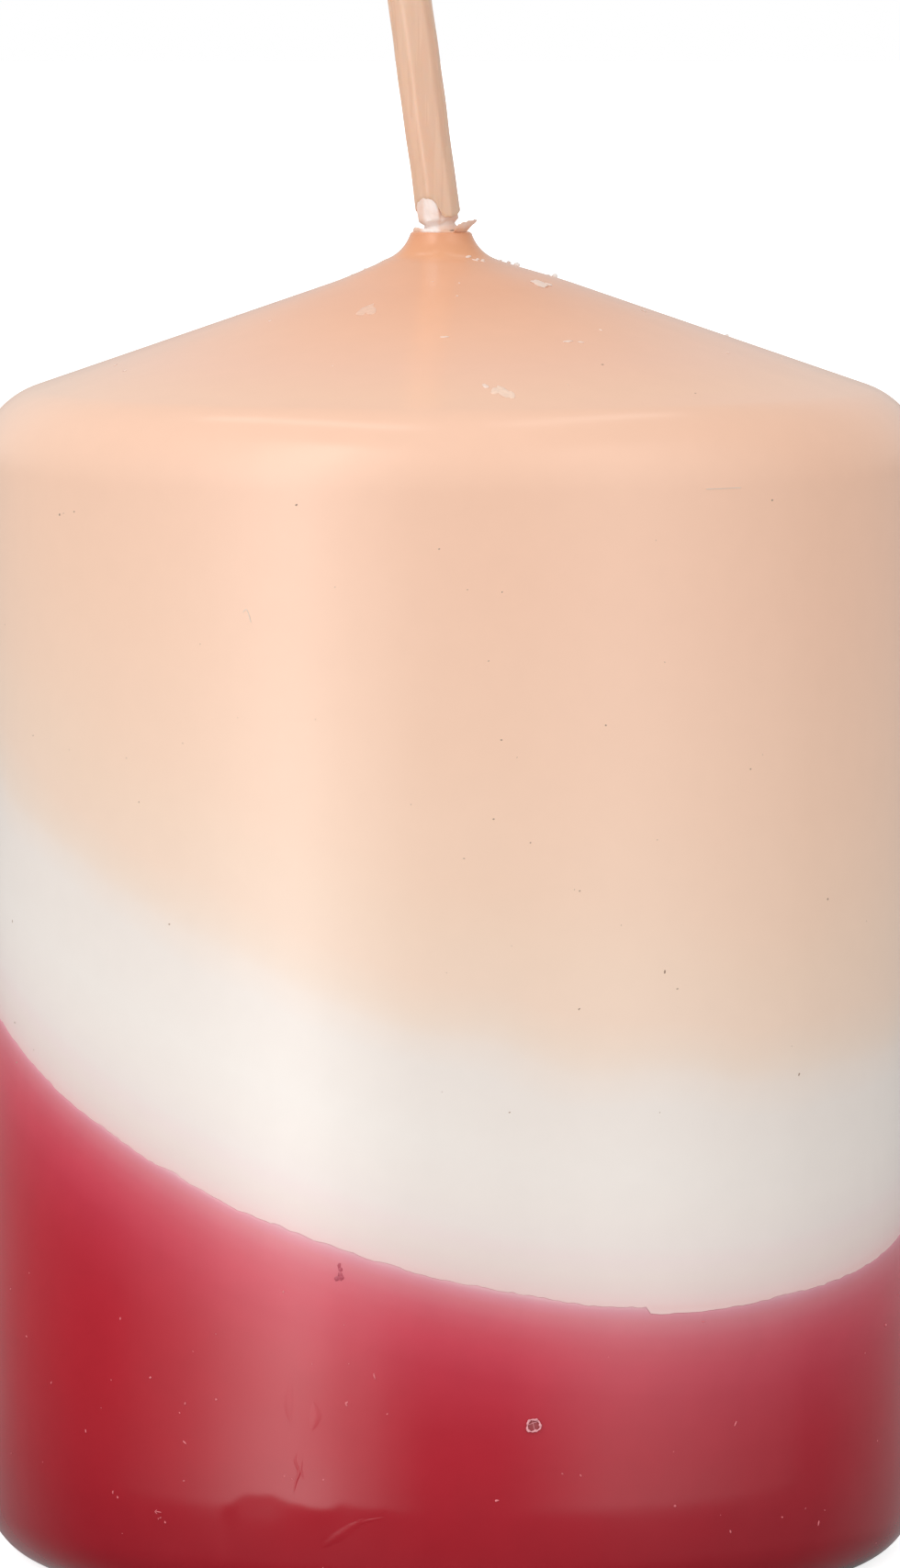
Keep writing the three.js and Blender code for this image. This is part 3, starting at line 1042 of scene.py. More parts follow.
# Colours at millimetres over the peach edge, from the axis of the wick, and over the red edge
PEACH_BY_DISTANCE = (
    (-8.0, (0.90, 0.835, 0.78)),
    (-3.0, (0.885, 0.805, 0.745)),
    (-1.0, (0.895, 0.775, 0.69)),
    (0.0, (0.90, 0.745, 0.635)),
    (1.0, (0.905, 0.725, 0.60)),
    (3.0, (0.92, 0.70, 0.56)),
    (6.0, (0.925, 0.69, 0.54)),
    (10.0, (0.935, 0.67, 0.515)),
    (18.0, (0.945, 0.645, 0.485)),
    (30.0, (0.95, 0.615, 0.455)),
    (44.0, (0.955, 0.60, 0.435)),
)
# On the cone the colour deepens toward the wick: partly a thicker coat, partly painted shade on the
# upward-facing cone
PEACH_BY_RADIUS = (
    (1.5, (0.86, 0.625, 0.48)),
    (3.2, (0.87, 0.67, 0.51)),
    (4.6, (0.87, 0.715, 0.605)),
    (7.0, (0.90, 0.735, 0.625)),
    (10.0, (0.91, 0.75, 0.645)),
    (17.0, (0.96, 0.85, 0.775)),
    (23.6, (0.97, 0.92, 0.90)),
    (29.0, (0.985, 0.98, 0.955)),
    (33.0, (0.98, 0.98, 0.98)),
)
WHITE_BY_RED_EDGE = (
    (0.0, (0.93, 0.70, 0.72)),
    (0.4, (0.935, 0.76, 0.78)),
    (1.0, (0.93, 0.81, 0.82)),
    (2.0, (0.945, 0.87, 0.87)),
    (3.0, (0.965, 0.89, 0.91)),
    (4.0, (0.97, 0.938, 0.947)),
    (6.0, (0.99, 0.975, 0.975)),
    (9.0, (1.0, 1.0, 1.0)),
)
# The red deepens away from its edge down to the foot: partly its own colour, partly painted shade toward the
# floor
RED_BY_DISTANCE = (
    (-36.0, (0.36, 0.012, 0.022)),
    (-26.0, (0.40, 0.013, 0.024)),
    (-18.0, (0.445, 0.015, 0.027)),
    (-12.0, (0.475, 0.019, 0.034)),
    (-10.0, (0.49, 0.022, 0.039)),
    (-8.0, (0.52, 0.029, 0.05)),
    (-6.0, (0.555, 0.039, 0.066)),
    (-4.0, (0.62, 0.063, 0.097)),
    (-3.0, (0.64, 0.084, 0.118)),
    (-2.0, (0.67, 0.12, 0.16)),
    (-1.0, (0.71, 0.195, 0.235)),
    (-0.5, (0.74, 0.26, 0.31)),
    (-0.2, (0.76, 0.33, 0.385)),
    (0.0, (0.78, 0.42, 0.465)),
)
# The edge lies a little over its plane
RED_LINE = (RED_EDGE[0] + 0.3, RED_EDGE[1], RED_EDGE[2])
# Painted shade: the red darkens toward the foot, where the floor takes light away, and toward the right, away
# from the key light
RED_SHADE_BY_HEIGHT = (
    (0.0, (0.76, 0.95, 0.92)), (7.0, (0.88, 0.95, 0.94)), (12.0, (0.96, 0.98, 0.98)), (20.0, (1.0, 1.0, 1.0)),
)
RED_SHADE_BY_SIDE = ((6.0, (1.0, 1.0, 1.0)), (20.0, (0.88, 0.93, 0.93)))
FOOT_SHADE_SLANT = 0.055  # the painted contact shadow at the foot climbs this much per millimetre to the right


def upper_wax(name):
    """Peach wax that fades into white above the red edge. Both upper coats have it."""
    shader = Shader(name)
    drift = shader.by_noise(shader.noise(0.09, 1.0), -0.6, 0.6)
    distance = shader.math("ADD", shader.over_edge(PEACH_EDGE), drift)
    side = shader.ramp(distance, PEACH_BY_DISTANCE)
    flat = shader.vector("MULTIPLY", shader.place, (1.0, 1.0, 0.0))
    radius = shader.vector("LENGTH", shader.vector("SUBTRACT", flat, (PIVOT.x, 0.0, 0.0)))
    # Deeper toward the wick, partly painted shade on the cone
    top = shader.tinted(side, shader.ramp(radius, PEACH_BY_RADIUS))
    on_top = shader.soft_step(shader.along(0.0, 0.0, 1.0), SIDE_HEIGHT + 1.0, SIDE_HEIGHT + 7.0)
    colour = shader.mix(on_top, side, top)
    colour = shader.tinted(colour, shader.ramp(shader.over_edge(RED_LINE), WHITE_BY_RED_EDGE))
    colour = shader.tinted(colour, shader.spread(shader.noise(0.5, 4.0), 0.25, 0.75, 0.985, 1.0))
    return finish_dipped(shader, colour)


def red_wax():
    shader = Shader("crimson_dipped_wax")
    # Deeper red down from the edge, partly painted shade toward the floor
    colour = shader.ramp(shader.over_edge(RED_LINE), RED_BY_DISTANCE)
    height = shader.along(0.0, 0.0, 1.0)
    side = shader.along(1.0, 0.0, 0.0)
    # A painted contact shadow along the foot, reaching higher at the right
    foot = shader.math("SUBTRACT", height, shader.math("MULTIPLY", side, FOOT_SHADE_SLANT))
    # Painted shade toward the foot and on the right side
    colour = shader.tinted(colour, shader.ramp(height, RED_SHADE_BY_HEIGHT))
    colour = shader.tinted(colour, shader.ramp(side, RED_SHADE_BY_SIDE))
    colour = shader.tinted(colour, shader.spread(foot, -1.0, -0.35, 0.3, 1.0))
    colour = shader.tinted(colour, shader.spread(shader.noise(0.4, 4.0), 0.25, 0.75, 0.95, 1.0))
    return finish_dipped(shader, colour)


def sleeve_wax():
    shader = Shader("peach_wick_wax")
    stripes = shader.noise(1.4, 3.0, 0.5, (1.0, 1.0, 0.03))
    colour = shader.mix(stripes, (0.80, 0.485, 0.34), (0.93, 0.625, 0.47))
    height = shader.math("ADD", stripes, shader.math("MULTIPLY", shader.noise(5.0), 0.15))
    roughness = shader.by_noise(stripes, 0.24, 0.33)
    return finish_wax(shader, colour, roughness, shader.bump(height, 0.05), 0.5, (1.0, 0.6, 0.4), 1.0)


def core_wax():
    """Pressed paraffin: small fused granules."""
    shader = Shader("pressed_core_wax")
    granules = shader.node("ShaderNodeTexVoronoi", {
        "Vector": shader.place, "Scale": 0.9,
    }, feature="SMOOTH_F1").outputs["Distance"]
    patches = shader.noise(0.2, 4.0)
    colour = shader.mix(granules, (0.90, 0.86, 0.79), (0.76, 0.70, 0.62))
    colour = shader.mix(shader.spread(patches, 0.4, 0.7, 0.0, 0.35), colour, (0.83, 0.70, 0.66))
    height = shader.math("ADD", shader.math("MULTIPLY", granules, -1.0), shader.noise(3.0, 4.0))
    roughness = shader.by_noise(patches, 0.45, 0.65)
    return finish_wax(shader, colour, roughness, shader.bump(height, 0.12), 0.2, (1.0, 0.8, 0.6), 0.6)


CRUMB_WHITEST = -1.5  # millimetres to the right of the axis


def crumb_wax():
    """Broken wax at the wick's root: peach where it is thick on the rim, nearly white at the tongue."""
    shader = Shader("crumbled_wax")
    patches = shader.noise(1.2, 3.0)
    aside = shader.math("ABSOLUTE", shader.math("SUBTRACT", shader.along(1.0, 0.0, 0.0), CRUMB_WHITEST))
    raised = shader.spread(shader.along(0.0, 0.0, 1.0), RIM_HEIGHT + 0.1, RIM_HEIGHT + 0.6, 0.0, 0.6)
    tongue = shader.math("SUBTRACT", 1.0, shader.soft_step(aside, 0.35, 0.95))
    patchy = shader.by_noise(patches, -0.15, 0.15)
    white = shader.math("ADD", shader.math("MAXIMUM", raised, tongue), patchy, clamp=True)
    colour = shader.mix(white, (0.86, 0.54, 0.38), (0.95, 0.84, 0.79))
    normal = shader.bump(shader.noise(5.0), 0.015)
    roughness = shader.by_noise(patches, 0.3, 0.5)
    return finish_wax(shader, colour, roughness, normal, 0.15, (1.0, 0.75, 0.65), 0.15)


def speck_wax(name, pale, pink):
    """Specks of wax: pale ones on the upper wax, pink ones on the red."""
    shader = Shader(name)
    patches = shader.noise(2.5, 2.0)
    over = shader.soft_step(shader.over_edge(RED_EDGE), -0.5, 0.5)
    colour = shader.tinted(shader.mix(over, pink, pale), shader.by_noise(patches, 0.9, 1.0))
    return finish_grain(shader, colour, patches, 0.3, 0.45)


def patched(name, scale, dark, light, smoothest, roughest):
    """Two colours in small patches, for dust and chips."""
    shader = Shader(name)
    patches = shader.noise(scale, 2.0)
    return finish_grain(shader, shader.mix(patches, dark, light), patches, smoothest, roughest)


def cotton():
    shader = Shader("waxed_cotton")
    fibres = shader.noise(9.0, 4.0, 0.6, (1.0, 1.0, 0.35))
    colour = shader.mix(fibres, (0.68, 0.58, 0.48), (0.88, 0.82, 0.74))
    roughness = shader.by_noise(fibres, 0.55, 0.8)
    shader.surface.inputs["Sheen Weight"].default_value = 0.3
    return finish_wax(shader, colour, roughness, shader.bump(fibres, 0.04), 0.2, (1.0, 0.8, 0.6), 0.3)


def tinplate():
    """Bright tin with a spangle, and fine rings from the press."""
    shader = Shader("bright_tinplate")
    from_wick = shader.vector("SUBTRACT", shader.place, (PIVOT.x, 0.0, 0.0))
    radius = shader.vector("LENGTH", shader.vector("MULTIPLY", from_wick, (1.0, 1.0, 0.0)))
    turned = shader.node("ShaderNodeTexNoise", {"Vector": radius, "Scale": 9.0, "Detail": 2.0}).outputs[0]
    spangle = shader.noise(0.6, 4.0)
    colour = shader.mix(spangle, (0.55, 0.56, 0.58), (0.74, 0.75, 0.77))
    shader.dress(colour, shader.by_noise(spangle, 0.22, 0.42), shader.bump(turned, 0.01))
    shader.surface.inputs["Metallic"].default_value = 1.0
    return shader.material


# The underside: the core and the tin sustainer
CORE_CLEAR = COAT + 0.3  # the core's side stays this far under the surface
RECESS_RADIUS = 10.8
RECESS_HEIGHT = 1.5
SOCKET_RADIUS = 1.8
SOCKET_HEIGHT = 8.4
FOOT_RIPPLE = 0.02


def core_underside(foot):
    """The bore's lower end, the recess for the tin and the slightly rippled flat round it."""
    rings = plain_rings((
        (BORE_RADIUS, SOCKET_HEIGHT + 0.2),
        (SOCKET_RADIUS, SOCKET_HEIGHT),
        (SOCKET_RADIUS, RECESS_HEIGHT + 0.2),
        (SOCKET_RADIUS + 0.2, RECESS_HEIGHT),
        (RECESS_RADIUS - 0.3, RECESS_HEIGHT),
        (RECESS_RADIUS, RECESS_HEIGHT - 0.2),
        (RECESS_RADIUS, 0.5),
        (RECESS_RADIUS + 0.15, 0.15),
        (RECESS_RADIUS + 0.5, 0.0),
    ), PIVOT.x)
    for share in np.linspace(0.0, 1.0, 20)[1:]:
        reach = RECESS_RADIUS + 0.5 + (foot - 0.5 - RECESS_RADIUS - 0.5) * share
        rings.append(plain_ring(reach, FOOT_RIPPLE * math.sin(9 * share) ** 2, PIVOT.x * (1 - share)))
    return rings + plain_rings(((foot - 0.15, 0.1), (foot, 0.4), (foot, CORE_CLEAR)))


def core_solid():
    """The pressed core with its bore, its recess for the tin and its small rounded edges."""
    foot_centre = (FOOT_CENTRE, BASE_ROUND)
    shoulder_centre = (SHOULDER_CENTRE, SIDE_HEIGHT)
    apex = CONE_APEX - CORE_CLEAR / math.cos(CONE_SLOPE)
    outline = arc(foot_centre, BASE_ROUND - CORE_CLEAR, -math.pi / 2, 0.0, ROUND_ROWS)
    outline += [(BODY_RADIUS - CORE_CLEAR, height) for height in np.linspace(BASE_ROUND, SIDE_HEIGHT, 9)[1:]]
    outline += arc(shoulder_centre, SHOULDER_ROUND - CORE_CLEAR, 0.0, SHOULDER_TURN, ROUND_ROWS)[1:]
    outline += [(reach, cone_line(apex, reach)) for reach in (20.0, 12.0, 6.0, 3.2)]
    bore = ((BORE_RADIUS, cone_line(apex, BORE_FLARE)), (BORE_RADIUS, 50.0))
    rings = core_underside(FOOT_CENTRE - CORE_CLEAR) + plain_rings(outline) + plain_rings(bore, PIVOT.x)
    return ring_solid("pressed_wax_core", rings)


TIN = 0.3
TIN_LOW = 1.1
TIN_NECK = 1.5
TIN_BORE = 1.2
# The disc from the neck's lower end out and back: radius, and height over the disc's underside
TIN_DISC = (
    (TIN_BORE, 0.25), (1.45, 0.06), (1.8, 0.0), (3.2, 0.0), (3.5, 0.1), (3.9, 0.12), (4.3, 0.1),
    (4.6, 0.0), (9.2, 0.0), (9.7, -0.02), (9.95, 0.08), (10.0, 0.2), (9.9, TIN), (9.2, TIN), (4.7, TIN),
    (4.2, TIN + 0.08), (3.6, TIN + 0.08), (3.1, TIN), (2.1, TIN), (1.7, TIN + 0.2), (1.55, TIN + 0.6),
)
TIN_BORE_RINGS = ((1.35, 8.1), (TIN_BORE, 8.0), (TIN_BORE, 5.0))
CRIMP = 0.12  # depth of the four crimps in the neck


def sustainer():
    """A pressed tin disc with a bead, a rolled edge and a neck crimped round the wick."""
    rings = plain_rings([(reach, TIN_LOW + over) for reach, over in TIN_DISC], PIVOT.x)
    for height in np.linspace(2.2, 7.9, 12):
        crimp = CRIMP * np.cos(4 * ANGLES) ** 8 * smooth(3.0, 5.0, height)
        rings.append(plain_ring(TIN_NECK - crimp, height, PIVOT.x))
    return ring_solid("tin_wick_sustainer", rings + plain_rings(TIN_BORE_RINGS, PIVOT.x))


# Assembly
def dress(piece, slot, material, *nodes):
    piece.data.materials.clear()
    piece.data.materials.append(material)
    if nodes:
        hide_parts(*nodes)


def set_piece(piece, body, slot, material, *nodes):
    dress(piece, slot, material, *nodes)
    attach(piece, body)


def set_bending_piece(piece, slot, material, *nodes):
    dress(piece, slot, material, *nodes)
    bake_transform(piece)


set_piece(red_coat(), "candle", "red_wax", red_wax(), "red_overdip")
set_piece(white_coat(), "candle", "white_wax", upper_wax("white_dipped_wax"), "white_overdip")
set_piece(peach_coat(), "candle", "peach_wax", upper_wax("peach_dipped_wax"), "peach_overdip")
set_piece(core_solid(), "candle", "core_wax", core_wax(), "wax_core")
set_piece(sustainer(), "candle", "tinplate", tinplate(), "wick_sustainer")

cotton_look = cotton()
core_braid = braid("braid_in_core", 1.0, 95.9, upright_wick, steps_per_mm=3)
set_piece(core_braid, "candle", "cotton", cotton_look, "wick_in_core")
wick_braid = braid("braid_of_wick", -1.0, WICK_END, on_wick, radius=1.06, fray=0.25)
set_bending_piece(wick_braid, "cotton", cotton_look, "wick_root", "wick_cotton")
set_piece(wick_sleeve(), "wick", "sleeve_wax", sleeve_wax(), "wick_wax_sleeve")

crumb_look = crumb_wax()
set_piece(rim_crust(), "candle", "crumbled_wax", crumb_look, "root_crust")
set_bending_piece(wick_crust(), "crumbled_wax", crumb_look)
set_piece(leaf_flake(), "candle", "crumbled_wax", crumb_look, "sleeve_flake")


# Places of the litter that the photograph shows
PALE_MARKS = [
    (-9.0, 17.8, None, 0.5, 0.10, 0.08, 105), (35.6, 13.4, None, 0.45, 0.12, 0.08, 60),
    (-38.1, 16.6, None, 0.22, 0.16, 0.08, 20), (-28.7, 15.5, None, 0.18, 0.14, 0.08, 0),
    (-33.0, 15.0, None, 0.2, 0.14, 0.08, 70), (-33.1, 12.2, None, 0.35, 0.12, 0.08, 140),
    (-33.2, 9.4, None, 0.2, 0.1, 0.08, 10), (-49.0, 12.0, None, 0.25, 0.12, 0.08, 100),
    (-37.0, 6.92, None, 0.55, 0.07, 0.08, 178), (-37.4, 6.98, None, 0.26, 0.06, 0.08, 40),
    (-37.4, 6.84, None, 0.26, 0.06, 0.08, 140), (-36.8, 6.5, None, 0.2, 0.07, 0.06, 30),
    (-37.1, 6.4, None, 0.14, 0.06, 0.06, 100), (-36.1, 6.22, None, 0.2, 0.1, 0.08, 110),
    (5.3, 8.9, None, 0.3, 0.14, 0.1, 15), (27.2, 7.9, None, 0.2, 0.15, 0.08, 0),
    (35.1, 5.6, None, 0.25, 0.12, 0.08, 110), (49.8, 5.2, None, 0.4, 0.12, 0.08, 70),
    (65.0, 18.5, None, 0.3, 0.2, 0.1, 0), (31.0, 21.0, None, 0.2, 0.1, 0.08, 0),
    (50.0, None, 8.5, 1.15, 1.6, 0.12, -28), (55.5, None, 8.7, 0.5, 0.6, 0.12, 10),
    (35.0, None, 3.5, 0.6, 0.26, 0.14, 15), (39.0, None, 3.95, 0.55, 0.2, 0.12, -40),
    (44.0, None, 3.85, 0.55, 0.22, 0.13, 25), (46.0, None, 4.2, 0.55, 0.2, 0.12, -35),
    (50.0, None, 4.0, 0.6, 0.22, 0.13, 20), (-1.5, None, 18.0, 0.7, 0.25, 0.06, 5),
    (26.0, None, 19.1, 0.9, 0.3, 0.06, 10), (29.0, None, 19.3, 0.5, 0.25, 0.06, -25),
    (-65.2, None, 26.1, 0.4, 0.3, 0.05, 0), (5.2, None, 26.9, 0.45, 0.8, 0.07, 10),
]
SILHOUETTE_CRUMBS = [
    (103.0, None, 5.5, 0.7, 0.4, 0.46, 0), (103.0, None, 5.0, 1.0, 0.3, 0.3, 0),
    (97.0, None, 4.4, 0.25, 0.2, 0.18, 0), (106.0, None, 8.0, 0.6, 0.4, 0.5, 0),
    (102.0, None, 7.5, 0.25, 0.2, 0.15, 0), (-104.0, None, 6.2, 0.25, 0.2, 0.18, 0),
    (-103.0, None, 7.4, 0.25, 0.16, 0.14, 0), (105.0, None, 21.2, 0.4, 0.3, 0.4, 0),
]
CONE_FLAKES = [
    (-28.0, None, 13.3, 0.9, 2.2, 0.05, 0), (-25.9, None, 13.4, 0.9, 1.8, 0.05, 30),
]
SHOULDER_FLAKES = [
    (7.8, None, 28.0, 1.0, 2.2, 0.05, 15), (6.5, None, 27.7, 0.7, 1.4, 0.05, -20),
    (8.6, None, 28.4, 0.6, 1.5, 0.05, 0),
]
DARK_MARKS = [
    (-53.5, 78.1, None, 0.2, 0.16, 0.04, 0), (-50.6, 78.4, None, 0.16, 0.12, 0.04, 0),
    (-18.2, 79.6, None, 0.2, 0.14, 0.04, 30), (-1.4, 76.6, None, 0.14, 0.1, 0.04, 0),
    (27.6, None, 23.4, 0.22, 0.16, 0.04, 0), (37.0, None, 29.0, 0.16, 0.12, 0.04, 0),
    (40.8, 79.5, None, 0.2, 0.14, 0.04, 0), (18.2, 64.0, None, 0.14, 0.12, 0.04, 0),
    (5.8, 63.1, None, 0.16, 0.1, 0.04, 0), (4.9, 57.5, None, 0.14, 0.1, 0.04, 0),
    (9.2, 55.8, None, 0.12, 0.1, 0.04, 0), (37.6, 60.4, None, 0.14, 0.12, 0.04, 0),
    (50.8, 50.5, None, 0.2, 0.16, 0.04, 0), (25.7, 46.3, None, 0.28, 0.14, 0.04, 80),
    (15.0, 43.9, None, 0.18, 0.1, 0.04, 45), (45.6, 38.1, None, 0.24, 0.14, 0.04, 60),
]
CHIP_MARKS = [
    (-13.15, 25.62, None, 0.5, 0.22, 0.04, 84), (-13.0, 25.34, None, 0.32, 0.34, 0.05, 70),
    (-13.05, 24.98, None, 0.36, 0.4, 0.05, 60), (-13.35, 24.70, None, 0.55, 0.34, 0.05, 20),
    (-12.9, 24.76, None, 0.44, 0.4, 0.05, 100),
]
PALE = (0.99, 0.76, 0.64)
PALER = (0.98, 0.93, 0.89)
NEARLY_PEACH = (0.95, 0.60, 0.44)
LIGHT_PEACH = (1.0, 0.72, 0.56)
PINK = (0.80, 0.20, 0.23)
PINKER = (0.86, 0.38, 0.42)
DARK_PINK = (0.38, 0.065, 0.075)

pale_marks = PALE_MARKS + scattered(90, on_side(2.0, 24.0), 0.05, 0.14, 2.2, 0.05)
pale_marks += scattered(26, on_cone, 0.08, 0.3, 2.0, 0.06)
dark_marks = DARK_MARKS + scattered(110, on_side(36.0, 79.0), 0.05, 0.12, 2.2, 0.03)

WAX_LITTER = (
    ("pale_wax_specks", pale_marks, "pale_specks", PALE),
    ("crumbs_behind_cone", SILHOUETTE_CRUMBS, "crumbs_behind", PALER),
    ("thin_wax_flakes", CONE_FLAKES, "thin_flakes", NEARLY_PEACH),
    ("shoulder_wax_flakes", SHOULDER_FLAKES, "shoulder_flakes", LIGHT_PEACH),
)
for name, marks, look, colour in WAX_LITTER:
    set_piece(specks(name, marks), "candle", "crumbled_wax", speck_wax(look, colour, PINK))

dust = patched("dark_dust", 1.5, (0.30, 0.20, 0.15), (0.55, 0.38, 0.28), 0.6, 0.8)
maroon = patched("maroon_chip", 2.5, (0.42, 0.055, 0.09), (0.55, 0.10, 0.14), 0.35, 0.5)
set_piece(specks("dark_dust_specks", dark_marks), "candle", None, dust)
set_piece(specks("maroon_chips", CHIP_MARKS), "candle", "red_wax", maroon)
set_piece(ring_crumb(), "candle", "crumbled_wax", speck_wax("hollow_crumb_wax", PALE, PINKER))
set_piece(crumb_film(), "candle", "crumbled_wax", speck_wax("hollow_crumb_film_wax", PALE, DARK_PINK))
set_piece(scars(), "candle", "red_wax", red_wax())
set_piece(hairs(), "candle", "cotton", cotton_look)


# Stage, light and camera
FLOOR_SIZE = 12.0
FLOOR_SHADE = 0.7
FLOOR_GLOW = 0.8


def floor():
    """A plain pale floor that the wax does not mirror."""
    half = FLOOR_SIZE / 2
    mesh = bpy.data.meshes.new("floor")
    corners = [(-half, -half, 0), (half, -half, 0), (half, half, 0), (-half, half, 0)]
    mesh.from_pydata(corners, [], [(0, 1, 2, 3)])
    piece = add_object("floor", mesh)
    material = bpy.data.materials.new("pale_floor")
    material.use_nodes = True
    look = Nodes(material.node_tree)
    surface = look.tree.nodes["Principled BSDF"].inputs
    surface["Base Color"].default_value = (FLOOR_SHADE, FLOOR_SHADE, FLOOR_SHADE, 1)
    surface["Roughness"].default_value = 0.9
    surface["Specular IOR Level"].default_value = 0.0
    surface["Emission Color"].default_value = (1, 1, 1, 1)
    seen = look.node("ShaderNodeLightPath").outputs["Is Camera Ray"]
    look.feed(surface["Emission Strength"], look.math("MULTIPLY", seen, FLOOR_GLOW))
    mesh.materials.append(material)
    piece.visible_glossy = False


# The room's soft light: its level, and how much it grows toward the right, the back and the top
ROOM_LEVEL = 0.81
ROOM_GROWTH = (-0.36, -0.52, 0.23)
# What the gloss mirrors of the room: its level, what the back, the back's lower half over the horizon
# and the right add, and how much of it the candle's own shade takes away low at the right
MIRRORED_LEVEL = 0.05
MIRRORED_BACK = 0.33
MIRRORED_OVER_HORIZON = 0.28
MIRRORED_RIGHT = 0.12
MIRRORED_SHADE = 0.3
# Where these set in and where they are whole, in the direction that the gloss looks: 1 is straight
# up, back or right, and 0 level or across
BACK = (0.2, 0.8)
OVER_HORIZON = (-0.02, 0.12)
OVER_TOP = (0.4, 0.7)
RIGHT = (0.3, 0.9)
SHADED_SIDE = (0.0, 0.1)
SHADED_LOW = (-0.26, -0.36)


def world():
    """White to the camera. The wax gets a soft room, brighter at the front left, and mirrors less of it."""
    made = bpy.data.worlds.new("studio")
    bpy.context.scene.world = made
    made.use_nodes = True
    room = Nodes(made.node_tree)
    place = room.node("ShaderNodeTexCoord").outputs["Generated"]
    soft = room.math("ADD", room.vector("DOT_PRODUCT", place, ROOM_GROWTH), ROOM_LEVEL)
    soft = room.math("MAXIMUM", soft, 0.0)
    to_right, to_back, upward = room.node("ShaderNodeSeparateXYZ", {0: place}).outputs
    over = room.spread(upward, *OVER_HORIZON, 0.0, MIRRORED_OVER_HORIZON)
    band = room.math("MULTIPLY", over, room.spread(upward, *OVER_TOP, 1.0, 0.0))
    wall = room.math("ADD", band, MIRRORED_BACK)
    back = room.math("MULTIPLY", wall, room.spread(to_back, *BACK))
    right = room.spread(to_right, *RIGHT, 0.0, MIRRORED_RIGHT)
    shade = room.spread(upward, *SHADED_LOW, 0.0, MIRRORED_SHADE)
    shade = room.math("MULTIPLY", shade, room.spread(to_right, *SHADED_SIDE))
    mirrored = room.math("ADD", room.math("ADD", back, right), MIRRORED_LEVEL)
    mirrored = room.math("MULTIPLY", mirrored, room.math("SUBTRACT", 1.0, shade))
    seen = room.node("ShaderNodeLightPath").outputs
    lit = room.node("ShaderNodeMix", {0: seen["Is Glossy Ray"], 2: soft, 3: mirrored}).outputs[0]
    shown = room.node("ShaderNodeMix", {0: seen["Is Camera Ray"], 2: lit, 3: 1.0}).outputs[0]
    background = room.tree.nodes["Background"].inputs
    background["Color"].default_value = (1, 1, 1, 1)
    room.feed(background["Strength"], shown)


def grey(stops):
    return [(place, (share, share, share)) for place, share in stops]


def gloss_lamp(name, length, width, radiance):
    """A rectangular lamp that only the gloss shows."""
    data = bpy.data.lights.new(name, "AREA")
    data.shape = "RECTANGLE"
    data.size = length
    data.size_y = width
    data.energy = 4.0 * radiance * length * width
    lamp = add_object(name, data)
    lamp.visible_camera = False
    lamp.visible_diffuse = False
    return lamp


def softbox(name, azimuth, distance, width, low, high, radiance, fades):
    """An upright softbox. azimuth is in degrees from the camera's side to the right. fades gives its
    brightness at places across it, from 0 at its left to 1 at its right."""
    lamp = gloss_lamp(name, width, high - low, radiance)
    angle = math.radians(azimuth)
    lamp.location = (distance * math.sin(angle), -distance * math.cos(angle), (low + high) / 2)
    lamp.rotation_mode = "QUATERNION"
    lamp.rotation_quaternion = Vector((-lamp.location.x, -lamp.location.y, 0.0)).to_track_quat("-Z", "Y")
    lamp.data.use_nodes = True
    light = Nodes(lamp.data.node_tree)
    spot = light.node("ShaderNodeNewGeometry").outputs["Parametric"]
    parts = light.node("ShaderNodeSeparateXYZ", {0: spot}).outputs
    across = light.ramp(parts["X"], grey(fades))
    upward = light.ramp(parts["Y"], grey(SOFTBOX_CLIMB))
    light.feed(light.tree.nodes["Emission"].inputs["Strength"], light.math("MULTIPLY", across, upward))


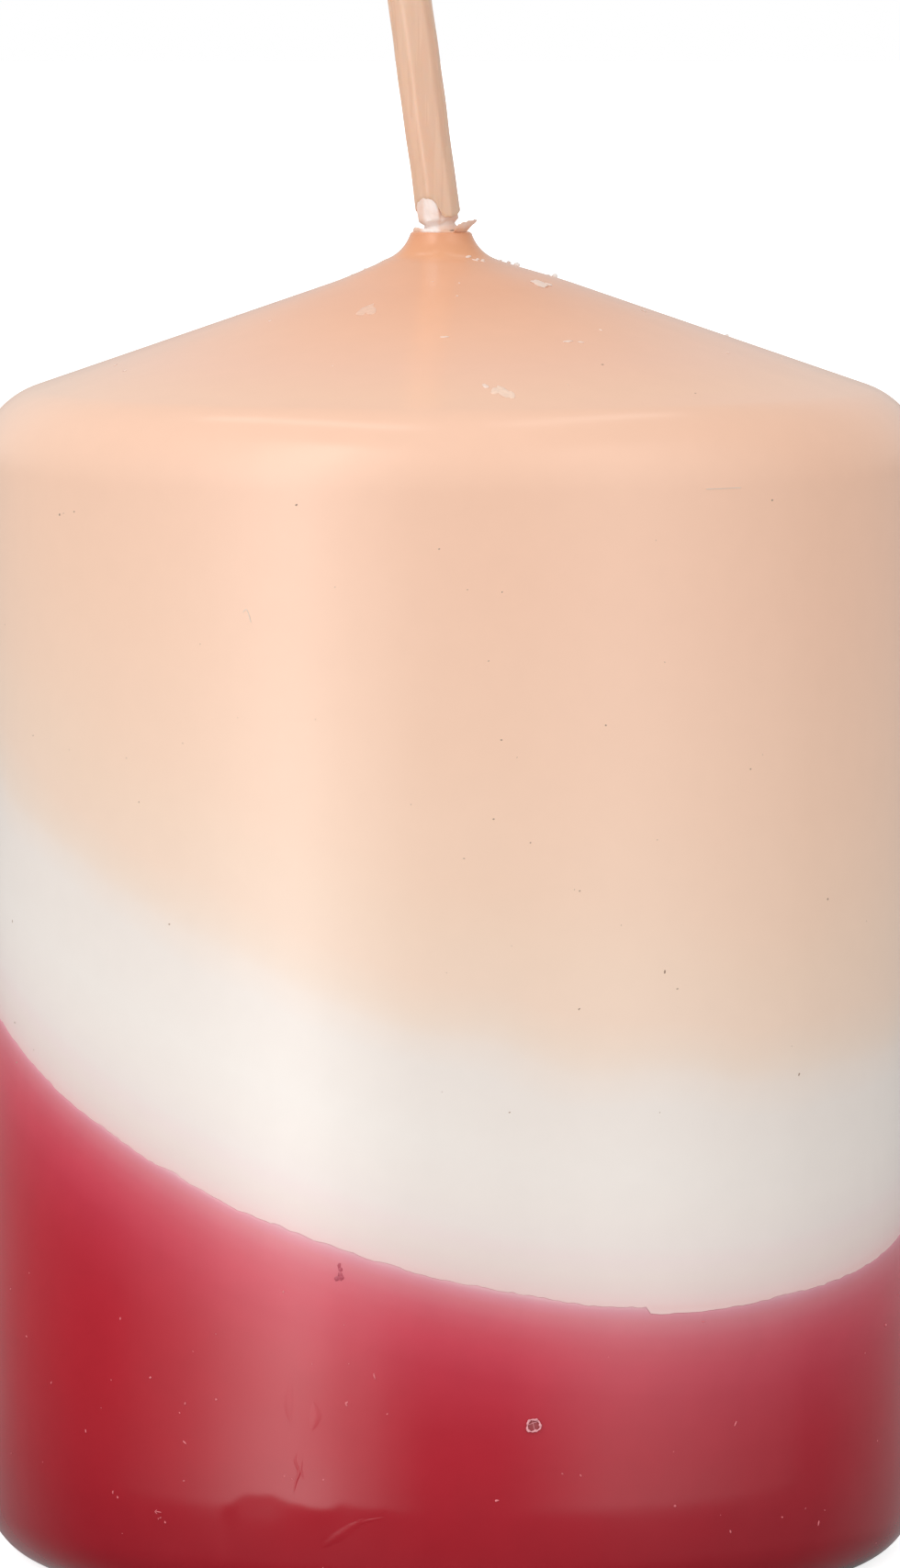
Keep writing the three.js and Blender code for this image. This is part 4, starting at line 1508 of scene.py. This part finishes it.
def overhead_bar(name, start, end, width, radiance):
    """A narrow light over the candle, for the gloss of the shoulder."""
    start, end = Vector(start), Vector(end)
    lamp = gloss_lamp(name, (end - start).length, width, radiance)
    lamp.location = (start + end) / 2
    lamp.rotation_euler = (0.0, 0.0, math.atan2(end.y - start.y, end.x - start.x))


# Brightness up and across the softboxes
SOFTBOX_CLIMB = (
    (0.0, 0.85), (0.045, 0.9), (0.066, 1.0), (0.085, 0.76),
    (0.15, 0.68), (0.9, 0.68), (0.96, 0.3), (1.0, 0.0),
)
KEY_FADES = (
    (0.0, 0.0), (0.27, 0.15), (0.37, 0.3), (0.545, 0.8), (0.61, 1.0),
    (0.69, 0.8), (0.735, 0.5), (0.81, 0.42), (0.91, 0.15), (1.0, 0.05),
)
FILL_FADES = (
    (0.0, 0.0), (0.06, 0.1), (0.19, 0.4), (0.356, 0.9), (0.46, 0.85), (0.62, 0.5), (0.74, 0.3), (1.0, 0.1),
)

floor()
world()
softbox(
    "key_softbox", azimuth=-48.0, distance=0.7, width=1.17, low=-0.16, high=1.25, radiance=3.9,
    fades=KEY_FADES,
)
softbox(
    "fill_softbox", azimuth=52.0, distance=0.8, width=1.34, low=-0.18, high=1.25, radiance=1.6,
    fades=FILL_FADES,
)
overhead_bar("left_bar", (-0.40, 0.41, 0.9), (-0.07, -0.04, 0.9), width=0.10, radiance=1.4)
overhead_bar("right_bar", (0.10, 0.04, 0.9), (0.29, 0.52, 0.9), width=0.10, radiance=1.0)

CAMERA_DISTANCE = 0.717
CAMERA_HEIGHT = 0.1233
CAMERA_PITCH = math.radians(5.302)
AXIS_OFFSET = 0.00009
SENSOR = 36.0
FRAME_HEIGHT = 1708
FOCAL_PIXELS = 10586

camera_data = bpy.data.cameras.new("camera")
camera_data.sensor_width = SENSOR
camera_data.lens = SENSOR * FOCAL_PIXELS / FRAME_HEIGHT
camera_data.clip_start = 0.05
camera_data.clip_end = 50.0
camera = add_object("camera", camera_data)
camera.location = (-AXIS_OFFSET, -CAMERA_DISTANCE, CAMERA_HEIGHT)
camera.rotation_euler = (math.pi / 2 - CAMERA_PITCH, 0.0, 0.0)
bpy.context.scene.camera = camera
bpy.context.scene.view_settings.view_transform = "Standard"
